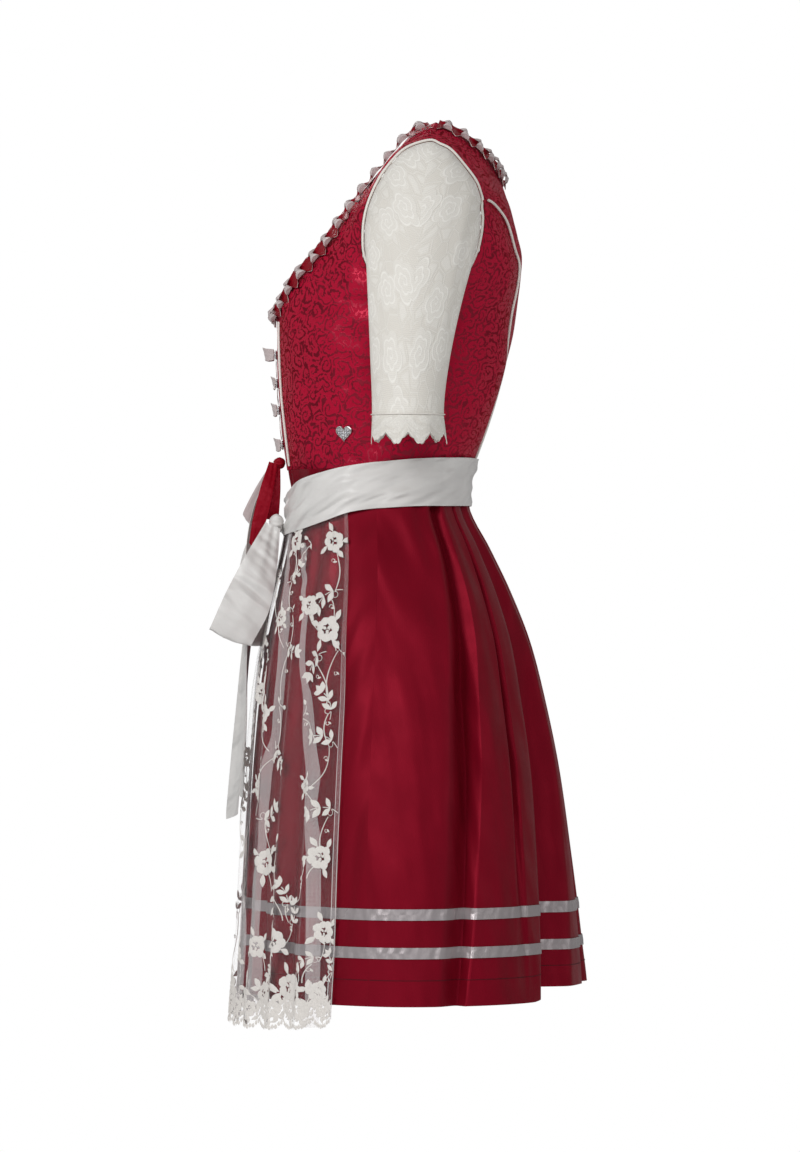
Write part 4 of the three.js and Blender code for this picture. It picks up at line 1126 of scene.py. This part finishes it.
# Gathered folds, where the net lies double: turn at one side, turn at the other, and height.
DOUBLED = {
    "near": [(32, 37, -452), (40, 42.5, -520), (43.5, 46.5, -600), (46, 53, -645), (48, 55, -690),
             (52.5, 56.5, -785), (54, 57.5, -892), (55.5, 59, -975)],
    "middle": [(17, 21, -440), (26, 31, -515), (30, 35, -570), (30, 35, -646), (28, 32, -701),
               (28, 30.5, -767), (27, 30, -822), (27, 30, -876), (24, 32, -970)],
    "front": [(2, 6, -430), (5, 8, -560), (7, 12, -700), (13, 17, -880), (15, 18, -975)],
}
for fold_name, rows in DOUBLED.items():
    for side, suffix in SIDES:
        grid = []
        for place in steps(0, len(rows) - 1, 80):
            low, high, z = spline([Vector(row) for row in rows], place)
            line = []
            for part in steps(0, 1, 10):
                turn = mix(low, high, part) + 0.5 * math.sin(z * 0.02 + 2 * low)
                line.append(apron_point(side * turn, round(z, 1), 0.7 + 0.5 * math.sin(math.pi * part)))
            grid.append(line)
        fold = cloth(f"apron_fold_{fold_name}_{suffix}", grid, 0.4, [tulle_fold])

# The embroidery is worked in a thick cream thread that lies on the net: roses of full petals round
# an open heart, leaves, buds and curled stems, with a dense row of scallops along the lower edge.
THREAD_OUT = 0.9
# Kind, turn, height, size and tilt in degrees.
MOTIFS = [
    ("rose", 29, -450, 20, 20), ("leaf", 40, -452, 11, 130), ("rose", 55, -450, 19, -20),
    ("spray", 31, -490, 17, 30), ("spray", 56, -508, 22, 200), ("rose", 44, -520, 18, 0),
    ("bud", 35, -528, 12, 120), ("rose", 28, -534, 17, 40), ("rose", 55, -546, 23, 10),
    ("spray", 36, -566, 17, -30), ("spray", 52, -578, 21, 215), ("leaf", 60, -566, 11, -60),
    ("rose", 18, -618, 21, 0), ("rose", 26, -640, 19, 60), ("leaf", 33, -628, 12, -40),
    ("spray", 34, -680, 20, -60), ("bud", 46, -640, 13, 40), ("spray", 57, -632, 19, 100),
    ("spray", 58, -668, 20, 150), ("bud", 22, -702, 12, 20), ("rose", 21, -722, 16, 0),
    ("spray", 30, -752, 21, 10), ("rose", 50, -716, 15, 30), ("spray", 59, -742, 21, 170),
    ("rose", 31, -802, 24, 20), ("leaf", 37, -786, 14, 30), ("spray", 38, -830, 20, -120),
    ("rose", 57, -792, 21, -10), ("leaf", 52, -812, 13, 60), ("spray", 43, -842, 18, 100),
    ("rose", 29, -894, 20, 0), ("rose", 40, -886, 22, 45), ("spray", 46, -862, 17, 70),
    ("spray", 37, -918, 18, 220), ("rose", 59, -872, 20, 0), ("spray", 56, -902, 16, 190),
    ("rose", 14, -906, 18, 30), ("rose", 8, -790, 22, 0), ("spray", 12, -838, 20, 200),
    ("spray", 3, -744, 20, 40), ("rose", 4, -690, 19, 0), ("bud", 12, -652, 13, 90),
    ("spray", 8, -580, 19, 20), ("rose", 14, -560, 18, 50), ("rose", 3, -498, 19, 0),
    ("spray", 16, -492, 17, 150), ("bud", 20, -584, 12, 60), ("spray", 0, -860, 19, 100),
    ("rose", 2, -944, 21, 20), ("leaf", 10, -934, 14, 120), ("rose", 20, -950, 17, 0),
    ("leaf", 26, -940, 13, 60), ("rose", 33, -944, 19, 40), ("leaf", 38, -932, 14, 110),
    ("rose", 46, -934, 25, 0), ("leaf", 53, -926, 14, 80), ("rose", 58, -936, 18, 20),
    ("spray", 62, -912, 15, 90),
]

embroidery_points, embroidery_faces = [], []
turn_widths = {}


def on_apron(turn, z, right, up, out):
    """A point on the apron beside and above a place on it."""
    if (turn, z) not in turn_widths:
        before, after = (ring_point(turn_down(turn + step, z), z, 6) for step in (-1, 1))
        turn_widths[turn, z] = (after - before).length / 2
    place = turn + right / turn_widths[turn, z]
    place = max(min(place, APRON_TURN - 0.3), 0.3 - APRON_TURN)
    return apron_point(place, round(max(z + up, APRON_HEM - 8), 1), THREAD_OUT + out)


def worked_faces(start, rows, columns):
    """Faces between the rows of a grid of points that begins at start."""
    for i in range(rows):
        for j in range(columns):
            a = start + i * (columns + 1) + j
            embroidery_faces.append((a, a + 1, a + columns + 2, a + columns + 1))


def polar(distance, angle):
    return distance * math.cos(angle), distance * math.sin(angle)


def petal(place, base, angle, length, width, side, point=1.0, along=7, across=4):
    """A filled leaf, or a round petal where point is 0: padded in the middle, out at an angle."""
    start = len(embroidery_points)
    cosine, sine = polar(1, angle)
    for t in steps(0, 1, along):
        reach = math.sin(math.pi * t ** point) if point else math.sqrt(max(1 - (2 * t - 1) ** 2, 0))
        half = width / 2 * max(reach, 0.06)
        for j in range(across + 1):
            s = j / across * 2 - 1
            x = base[0] + cosine * length * t - sine * half * s
            y = base[1] + sine * length * t + cosine * half * s
            padding = 0.9 * (1 - s * s) * math.sin(math.pi * mix(0.1, 0.9, t))
            embroidery_points.append(on_apron(*place, side * x, y, padding))
    worked_faces(start, along, across)


def stem(place, base, angle, length, curl, side, width=1.0, count=9):
    """A narrow worked line that bends as it goes, and returns its end and its last angle."""
    start = len(embroidery_points)
    x, y = base
    for i in range(count + 1):
        ahead, aside = polar(1, angle)
        for s in (-0.5, 0, 0.5):
            embroidery_points.append(on_apron(*place, side * (x - aside * s * width),
                                              y + ahead * s * width, 0.5 if s == 0 else 0))
        x, y = x + ahead * length / count, y + aside * length / count
        angle += curl / count
    worked_faces(start, count, 2)
    return (x, y), angle


def rose(place, size, tilt, side):
    """Seven round petals, three short ones in the heart and four leaves round them."""
    size *= 1.24
    for k in range(7):
        angle = tilt + 2 * math.pi * k / 7
        reach = size * (0.36 + 0.05 * math.sin(2.4 * k))
        petal(place, polar(0.16 * size, angle), angle, reach, 0.4 * size, side, 0)
    for k in range(3):
        angle = tilt + 0.5 + 2 * math.pi * k / 3
        petal(place, polar(0.02 * size, angle), angle, 0.18 * size, 0.12 * size, side, 0)
    for k in range(4):
        angle = tilt + 0.7 + 1.5 * k + 0.4 * math.sin(5 * k + size)
        petal(place, polar(0.44 * size, angle), angle + 0.3, 0.5 * size, 0.24 * size, side, 1.1)


def leaf(place, size, tilt, side):
    end, angle = stem(place, (0, 0), tilt, 0.6 * size, 0.5, side)
    petal(place, end, angle, 0.9 * size, 0.42 * size, side, 1.1)
    petal(place, (0, 0), angle + 2.2, 0.7 * size, 0.34 * size, side, 1.1)


def bud(place, size, tilt, side):
    end, angle = stem(place, (0, 0), tilt, 0.9 * size, 1.2, side)
    petal(place, end, angle + 0.2, 0.55 * size, 0.38 * size, side, 0.8)
    petal(place, polar(0.3 * size, tilt), tilt - 0.9, 0.5 * size, 0.2 * size, side)


def spray(place, size, tilt, side):
    """A curved stem with leaves in pairs along it, a bud at its end and a tendril."""
    size *= 1.28
    base, angle = polar(-0.5 * size, tilt), tilt - 0.4
    for k in range(3):
        base, angle = stem(place, base, angle, 0.36 * size, 0.3, side, count=4)
        for turned in (0.85, -0.85):
            petal(place, base, angle + turned, 0.48 * size, 0.24 * size, side, 1.1, 5, 3)
    petal(place, base, angle, 0.46 * size, 0.26 * size, side, 0.9)
    stem(place, (0, 0), tilt + 1.4, 0.6 * size, 5.0, side, 0.8)


# Both sides carry the motifs, but those near the middle come once. On the right they drift a little.
DRAWN = {"rose": rose, "leaf": leaf, "bud": bud, "spray": spray}
for side in (1, -1):
    for kind, turn, z, size, tilt in MOTIFS:
        if side < 0 and turn < 6:
            continue
        drift = 0 if side > 0 else 1.5 * math.sin(z)
        DRAWN[kind]((side * turn + drift, z + 3 * drift), size, math.radians(tilt) + 0.3 * drift, side)

# Curled stems lead from each motif towards the one below it.
for side in (1, -1):
    for k, (kind, turn, z, size, tilt) in enumerate(MOTIFS):
        lower = [row for row in MOTIFS if 18 < z - row[2] < 75 and abs(row[1] - turn) < 14]
        if not lower or (side < 0 and turn < 6):
            continue
        goal = min(lower, key=lambda row: z - row[2] + 2 * abs(row[1] - turn))
        right, down = 2.6 * (goal[1] - turn), z - goal[2]
        place, hand = (side * turn, z), (-1) ** k
        heading = math.atan2(-down, right) + 0.5 * hand
        stem(place, (0, -0.3 * size), heading, math.hypot(right, down) * 0.9, -hand, side, 1.1, 12)
        end, angle = stem(place, (0.2 * right, -0.4 * down), heading + 1.3, 10, 5.5 * hand, side, 0.9)
        petal(place, end, angle, 5, 2.4, side, 1.0, 4, 3)

# The lower edge: close rows of petals that follow the scallops, with a rose and two leaves in each.
PER_SCALLOP = 9
for k, turn in enumerate(steps(0.6 - APRON_TURN, APRON_TURN - 0.6, APRON_SCALLOPS * PER_SCALLOP - 1)):
    edge = apron_bottom(turn)
    place = (turn, round(edge + 4, 1))
    petal(place, (0, -3.5), math.pi / 2, 5.5, 3.4, 1, 0.8, 4, 3)
    petal(place, (1, 5), math.radians(60 + 40 * math.sin(k * 1.9)), 8, 3.2, 1, 1, 4, 3)
    if k % 2 == 0:
        petal(place, (0, 13), math.radians(90 + 50 * math.sin(k * 2.7)), 8.5, 4, 1, 1, 4, 3)
    if k % PER_SCALLOP == 4:
        rose((turn, round(edge + 23, 1)), 17 + 3 * math.sin(k), k, 1)
    if k % PER_SCALLOP in (0, 7):
        leaf((turn, round(edge + 26, 1)), 16, math.radians(90 + 40 * math.sin(k)), 1)
    if k % 3 == 1:
        petal(place, (0, 19), math.radians(90 + 60 * math.sin(k * 3.1)), 9, 4, 1, 1, 4, 3)

cream_thread, tree, shader, uv = new_material("cream thread")
place_in_dress = put(tree, "TexCoord", {}).outputs["Object"]
twist = noise(tree, place_in_dress, 900.0, 2.0)[0]
connect(tree, shader, {
    "Base Color": blend_colour(tree, twist, (0.6, 0.56, 0.53, 1), (0.86, 0.83, 0.79, 1)),
    "Normal": relief(tree, twist, 0.5, 0.0005),
    "Roughness": 0.7,
})
worked = bpy.data.meshes.new("apron_embroidery")
worked.from_pydata([point * METRE for point in embroidery_points], [], embroidery_faces)
worked.materials.append(cream_thread)
embroidery = add_object("apron_embroidery", worked)
finish_piece(embroidery)
sew(["apron"])

# ---- sash ----
# A folded satin band round the waist over the top of the apron, pulled down in front to its knot.
# Long soft creases run round it and draw together at the knot.

SASH_THICKNESS = 1.2
# Turn away from the front, counted downwards, with the top edge and the bottom edge there.
SASH_EDGES = [
    (0, -398, -444),
    (-20, -393, -441),
    (-37, -383, -437),
    (-57, -375, -428),
    (-77, -367, -417),
    (-102, -360, -412),
    (-135, -358, -411),
    (-180, -358, -410),
]

white_satin = satin("white satin", (0.76, 0.745, 0.725, 1), (0.66, 0.645, 0.63, 1), 0.34, 1200.0, 0.5,
                    slack=(8, 26, 0.024, 0.3))
SASH_ROWS, SASH_COLUMNS = 22, 300
grid = []
for down in steps(0, 1, SASH_ROWS):
    line = []
    for turn in steps(-180, 180, SASH_COLUMNS)[:-1]:
        z = mix(eased(SASH_EDGES, -abs(turn), 1), eased(SASH_EDGES, -abs(turn), 2), down)
        over_apron = 1 - smooth((abs(turn) - 70) / 20)
        near_knot = smooth((70 - abs(turn)) / 60)
        slant = down * 2.6 + 0.5 * math.sin(math.radians(turn * 1.5)) + 0.012 * abs(turn)
        crease = (1.6 + 1.6 * near_knot) * (0.5 + 0.5 * math.sin(2 * math.pi * slant)) ** 2
        crease += 1.5 * (0.5 + 0.5 * math.sin(2 * math.pi * (down * 1.3 - abs(turn) / 60))) ** 3
        hold = smooth(min(down, 1 - down) * 8)
        line.append(ring_point(turn, round(z, 2), mix(2.9, 6.8, over_apron) + crease * hold))
    grid.append(line)
sash = cloth("sash_band_satin", grid, SASH_THICKNESS, [white_satin], closed=True)
sew(["sash_band"])


def tied_ribbon(name, rows, materials, thickness, cupping=0.05, wrinkles=0.7, count=60, parts=14):
    """A ribbon along rows of middle point, width, and the turn and rise of its width direction."""
    places, shapes = [Vector(row[:3]) for row in rows], [Vector(row[3:6]) for row in rows]
    grid, last = [], len(rows) - 1
    widest = max(row[3] for row in rows)
    for i, place in enumerate(steps(0, last, count)):
        middle, shape = spline(places, place), spline(shapes, place)
        ahead = spline(places, min(place + 0.02, last)) - spline(places, max(place - 0.02, 0))
        width, turn, rise = shape.x, math.radians(shape.y), math.radians(shape.z)
        side = Vector((math.cos(rise) * math.sin(turn), -math.cos(rise) * math.cos(turn), math.sin(rise)))
        facing = side.cross(ahead).normalized()
        drawn_in = 1 - width / widest
        line = []
        for part in steps(-0.5, 0.5, parts):
            cup = cupping * width * (0.25 - part * part) * 4
            pucker = wrinkles * (0.35 + 1.6 * drawn_in) * math.sin(part * 15 + 2.2 * math.sin(i * 0.12))
            lift = (cup + pucker) * smooth((0.5 - abs(part)) * 9)
            line.append(middle + side * (part * width) + facing * lift)
        grid.append(line)
    inside = Vector((rows[0][0] - 40, rows[0][1] + 60, rows[0][2]))
    return cloth(name, grid, thickness, materials, inside=inside)


def tied_knot(name, node, place, size, material):
    """A knot: a ball drawn in by the ribbon's folds, which run over it from side to side."""
    bpy.ops.object.select_all(action="DESELECT")
    bpy.ops.mesh.primitive_uv_sphere_add(segments=48, ring_count=32, radius=0.5, location=(0, 0, 0))
    knot = bpy.context.object
    knot.name = name
    for vertex in knot.data.vertices:
        co = vertex.co
        around = math.atan2(co.z, co.x)
        fold = 0.05 * math.sin(7 * around + 5 * co.x) + 0.04 * math.sin(11 * co.z + 6 * co.x)
        pinch = 1 - 0.14 * bump(co.x / 0.2)
        spread = Vector((co.x * size[0], co.y * size[1], co.z * size[2] * pinch)) * (0.94 + fold)
        vertex.co = (spread + Vector(place)) * METRE
    around, down = math.pi * size[0] * METRE, math.pi / 2 * size[2] * METRE
    for corner in knot.data.uv_layers.active.data:
        corner.uv = (corner.uv[0] * around, corner.uv[1] * down)
    knot.data.materials.append(material)
    finish_piece(knot)
    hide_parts(node)


tied_knot("sash_knot_satin", "sash_knot", (28, -171.4, -430), (23, 17, 25), white_satin)
for name, held, rows in (
    ("sash_loop_L", "folded", [
        (39.7, -175, -432, 18, 0, 25),
        (62, -189, -478, 40, 0, 25),
        (75, -203, -518, 52, 0, 23),
        (77, -218, -549, 50, 0, 22),
        (66, -221, -555, 50, 0, 22),
        (52, -206, -524, 50, 0, 23),
        (47, -191, -484, 36, 0, 25),
        (40.5, -180, -447, 14, 0, 25),
    ]),
    ("sash_loop_R", "folded", [
        (17, -176.3, -436, 14, -20, 25),
        (-14, -191, -458, 34, -20, 20),
        (-36, -199, -508, 46, -20, 15),
        (-46, -211, -556, 48, -20, 12),
        (-56, -209, -558, 48, -20, 12),
        (-62, -198, -512, 42, -20, 15),
        (-38, -184, -455, 26, -20, 20),
        (14.4, -173.5, -429, 10, -20, 25),
    ]),
    ("sash_tail_L", "hung", [
        (31, -175.6, -441, 14, 90, 0),
        (32, -193, -490, 30, 90, 0),
        (30, -206, -560, 36, 98, 0),
        (30, -212, -650, 42, 108, 0),
        (32, -220, -739, 46, 108, 4),
        (32, -221, -756, 46, 108, 10),
    ]),
    ("sash_tail_R", "hung", [
        (20, -176.6, -441, 8, 90, 40),
        (-8, -193, -490, 18, 90, 20),
        (-24, -206, -560, 30, 98, 0),
        (-29, -212, -650, 40, 108, 0),
        (-30, -217, -735, 46, 108, -8),
    ]),
):
    piece = tied_ribbon(f"{name}_satin", rows, [white_satin], 0.6)
    sew([name])

# ---- front closure ----
# Four pairs of cast flower hooks set with clear stones are sewn beside the centre front. The
# two-tone ribbon is laced across between them and tied in a bow at the waist.

# Each pair's height, and how far its ribbon loop bulges forward.
HOOK_ROWS = [(-241, 11), (-273, 3), (-303, 5), (-342, 6)]
HOOK_OFFSET = 13
HOOK_RADIUS, HOOK_BODY, HOOK_DOME = 5.2, 1.6, 0.7
RIBBON_OFF_HOOKS = 4.1
# The two-tone ribbon with its silver side out.
REVERSED = [ribbon_back, ribbon_face, ribbon_edge]


def front_face(z, off):
    """How far forward the front edge of the bodice lies at a height, a little off its cloth."""
    k = next(i for i, row in enumerate(CENTRE_FRONT) if row[2] >= z)
    low, high = CENTRE_FRONT[k - 1], CENTRE_FRONT[k]
    return mix(low[1], high[1], (z - low[2]) / (high[2] - low[2])) - off


silver_metal, tree, shader, uv = new_material("dark silver")
tarnish = noise(tree, put(tree, "TexCoord", {}).outputs["Object"], 900.0, 3.0)[0]
worn = fade(tree, tarnish, 0.35, 0.65)
connect(tree, shader, {
    "Base Color": blend_colour(tree, worn, (0.32, 0.31, 0.32, 1), (0.75, 0.73, 0.72, 1)),
    "Roughness": fade(tree, tarnish, 0.3, 0.7, 0.22, 0.42),
    "Metallic": 1.0,
})

clear_stone, tree, shader, uv = new_material("clear stone")
own_place = put(tree, "TexCoord", {}).outputs["Object"]
sparkle = parts_of(tree, put(tree, "TexVoronoi", {"Vector": own_place, "Scale": 1400.0}).outputs["Color"])
connect(tree, shader, {
    "Base Color": blend_colour(tree, sparkle[0], (0.9, 0.92, 0.96, 1), (0.5, 0.53, 0.6, 1)),
    "Normal": relief(tree, sparkle[1], 0.8, 0.0004),
    "Roughness": 0.08,
    "Coat Weight": 1.0,
})


def stone(place, radius):
    """A small cut stone: a low faceted dome."""
    bpy.ops.object.select_all(action="DESELECT")
    bpy.ops.mesh.primitive_ico_sphere_add(subdivisions=2, radius=radius * METRE)
    gem = bpy.context.object
    for vertex in gem.data.vertices:
        vertex.co = Vector((vertex.co.x, vertex.co.y * 0.7, vertex.co.z)) + Vector(place) * METRE
    gem.data.materials.append(clear_stone)
    return gem


def cast_piece(node, parts):
    """Joins a cast body and its stones into one piece."""
    choose(*parts)
    bpy.ops.object.join()
    piece = bpy.context.object
    piece.name = f"{node}_metal"
    finish_piece(piece)
    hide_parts(node)


def cast_hook(node, middle):
    """A six-lobed flower with a domed face, a stone in each lobe and a larger one in the middle."""
    bpy.ops.object.select_all(action="DESELECT")
    bpy.ops.mesh.primitive_cylinder_add(vertices=48, radius=HOOK_RADIUS * METRE, depth=HOOK_BODY * METRE,
                                        end_fill_type="TRIFAN")
    boss = bpy.context.object
    for vertex in boss.data.vertices:
        x, y, h = vertex.co / METRE
        angle = math.atan2(y, x)
        reach = math.hypot(x, y) * (0.86 + 0.13 * abs(math.cos(3 * angle)) + 0.02 * math.cos(18 * angle))
        dome = HOOK_DOME * (1 - (reach / HOOK_RADIUS) ** 2) if h > 0 else 0
        sideways, upwards = polar(reach, angle)
        vertex.co = (middle + Vector((sideways, -(h + HOOK_BODY / 2 + dome), upwards))) * METRE
    boss.data.materials.append(silver_metal)
    bevel = boss.modifiers.new("edge", "BEVEL")
    bevel.width = 0.3 * METRE
    bevel.segments = 2
    finish_piece(boss)
    parts = [boss]
    for k in range(6):
        sideways, upwards = polar(3.3, math.pi * k / 3)
        parts.append(stone(middle + Vector((sideways, -1.9, upwards)), 0.85))
    parts.append(stone(middle + Vector((0, -2.3, 0)), 1.25))
    cast_piece(node, parts)


for number, (z, bulge) in enumerate(HOOK_ROWS, 1):
    for side, suffix in SIDES:
        cast_hook(f"hook_{number}_{suffix}", Vector((side * HOOK_OFFSET, front_face(z, 0.5), z)))
    start = front_face(z, RIBBON_OFF_HOOKS)
    rows = [
        (-16, start, z, 12, 0, 90),
        (-10, start - bulge * 0.6, z, 14, 0, 82),
        (0, start - bulge, z + 1, 15, 0, 78),
        (10, start - bulge * 0.6, z, 14, 0, 82),
        (16, start, z, 12, 0, 90),
    ]
    piece = tied_ribbon(f"lacing_loop_{number}_ribbon", rows, REVERSED, 0.5, 0.03, 0.4)
    sew([f"lacing_loop_{number}"])

for number, (upper, lower) in enumerate(zip(HOOK_ROWS, HOOK_ROWS[1:]), 1):
    high, low = upper[0] - 8, lower[0] + 8
    middle = (high + low) / 2
    side = 1 if number % 2 else -1
    rows = [
        (-side * 6, front_face(high, 1.6), high, 9, 90 * side, 30),
        (0, front_face(middle, 1.9), middle, 9, 90 * side, 30),
        (side * 6, front_face(low, 1.6), low, 9, 90 * side, 30),
    ]
    piece = tied_ribbon(f"lacing_cross_{number}_ribbon", rows, TWO_TONE, 0.5, 0.02, 0.2)
    sew([f"lacing_cross_{number}"])

tied_knot("lacing_knot_ribbon", "lacing_knot", (4, -168.6, -362), (15, 14, 15),
          ribbon_face)
for name, held, rows in (
    ("lacing_bow_loop_L", "folded", [
        (10, -173.2, -367, 12, 0, 10),
        (15, -176, -392, 18, 0, 8),
        (15, -179, -416, 21, 0, 5),
        (11, -180, -424, 21, 0, 5),
        (6, -179, -413, 20, 0, 5),
        (7, -177, -394, 16, 0, 8),
        (6.6, -173, -370.2, 9, 0, 10),
    ]),
    ("lacing_bow_loop_R", "folded", [
        (-2, -176, -368, 10, 10, 45),
        (-9, -190, -395, 16, 10, 48),
        (-13, -203, -423, 19, 10, 50),
        (-18, -201, -425, 19, 10, 50),
        (-17, -188, -397, 15, 10, 48),
        (-5, -173, -369, 8, 10, 45),
    ]),
    ("lacing_tail_L", "hung", [
        (11.8, -175.2, -362, 10, 0, 20),
        (26, -183, -395, 15, 0, 20),
        (27, -191, -428, 15, 0, 20),
        (26, -199, -455, 9, 0, 50),
    ]),
    ("lacing_tail_R", "hung", [
        (2, -174.8, -367, 9, 60, 0),
        (-2, -195, -410, 9, 60, 0),
        (4, -203, -460, 12, 60, 0),
        (3, -201, -520, 14, 50, 0),
        (3, -208, -590, 14, 50, 0),
        (3, -212, -648, 14, 50, 25),
    ]),
):
    materials = REVERSED if name == "lacing_bow_loop_R" else TWO_TONE
    piece = tied_ribbon(f"{name}_ribbon", rows, materials, 0.5, 0.05, 0.4)
    sew([name])

# ---- heart badge ----
# A small cast heart pinned to the left front near the waist, with a raised rim and rows of stones.

BADGE_WIDE, BADGE_HIGH = 20, 18
# Where it sits on the front panel: across it from the front seam, and up it.
BADGE_U, BADGE_V = 0.66, 0.073

badge_facing = normal_at(front_cloth, BADGE_U, BADGE_V)
badge_place = front_cloth(BADGE_U, BADGE_V) + badge_facing * 0.3
badge_right = Vector((0, 0, 1)).cross(badge_facing).normalized()
badge_up = badge_facing.cross(badge_right)


def heart_edge(t, scale):
    """A heart's outline: t runs round it once."""
    angle = 2 * math.pi * t
    x = 0.5 * BADGE_WIDE * math.sin(angle) ** 3
    z = BADGE_HIGH / 29 * (13 * math.cos(angle) - 5 * math.cos(2 * angle) - 2 * math.cos(3 * angle)
                           - math.cos(4 * angle)) + 1.2
    return x * scale, z * scale


def on_badge(x, z, out):
    return (badge_place + badge_right * x + badge_up * z + badge_facing * out) * METRE


# Rings of points from the back round the edge to the face: each one's size and how far out it lies.
BADGE_RINGS = [(0.9, 0.1), (1.0, 0.3), (1.0, 1.2), (0.95, 1.6), (0.86, 1.6), (0.82, 1.0), (0.5, 1.15),
               (0.2, 1.25)]
AROUND = 64
points = [on_badge(*heart_edge(k / AROUND, scale), out) for scale, out in BADGE_RINGS for k in range(AROUND)]
points += [on_badge(0, 0, 0.1), on_badge(0, 0, 1.3)]
last_ring = (len(BADGE_RINGS) - 1) * AROUND
faces = []
for k in range(AROUND):
    j = (k + 1) % AROUND
    for ring in range(0, last_ring, AROUND):
        faces.append((ring + k, ring + j, ring + AROUND + j, ring + AROUND + k))
    faces.append((j, k, len(points) - 2))
    faces.append((last_ring + k, last_ring + j, len(points) - 1))
mesh = bpy.data.meshes.new("badge")
mesh.from_pydata(points, [], faces)
mesh.materials.append(silver_metal)
badge = add_object("badge", mesh)
choose(badge)
bpy.ops.object.mode_set(mode="EDIT")
bpy.ops.mesh.select_all(action="SELECT")
bpy.ops.mesh.normals_make_consistent(inside=False)
bpy.ops.object.mode_set(mode="OBJECT")

parts = [badge]
for height, places in ((4.0, (-2, -1, 1, 2)), (1.2, (-2, -1, 0, 1, 2)), (-1.6, (-1, 0, 1)), (-4.4, (0,))):
    for place in places:
        parts.append(stone(on_badge(place * 2.9, height, 1.5) / METRE, 1.15))
cast_piece("heart_badge", parts)
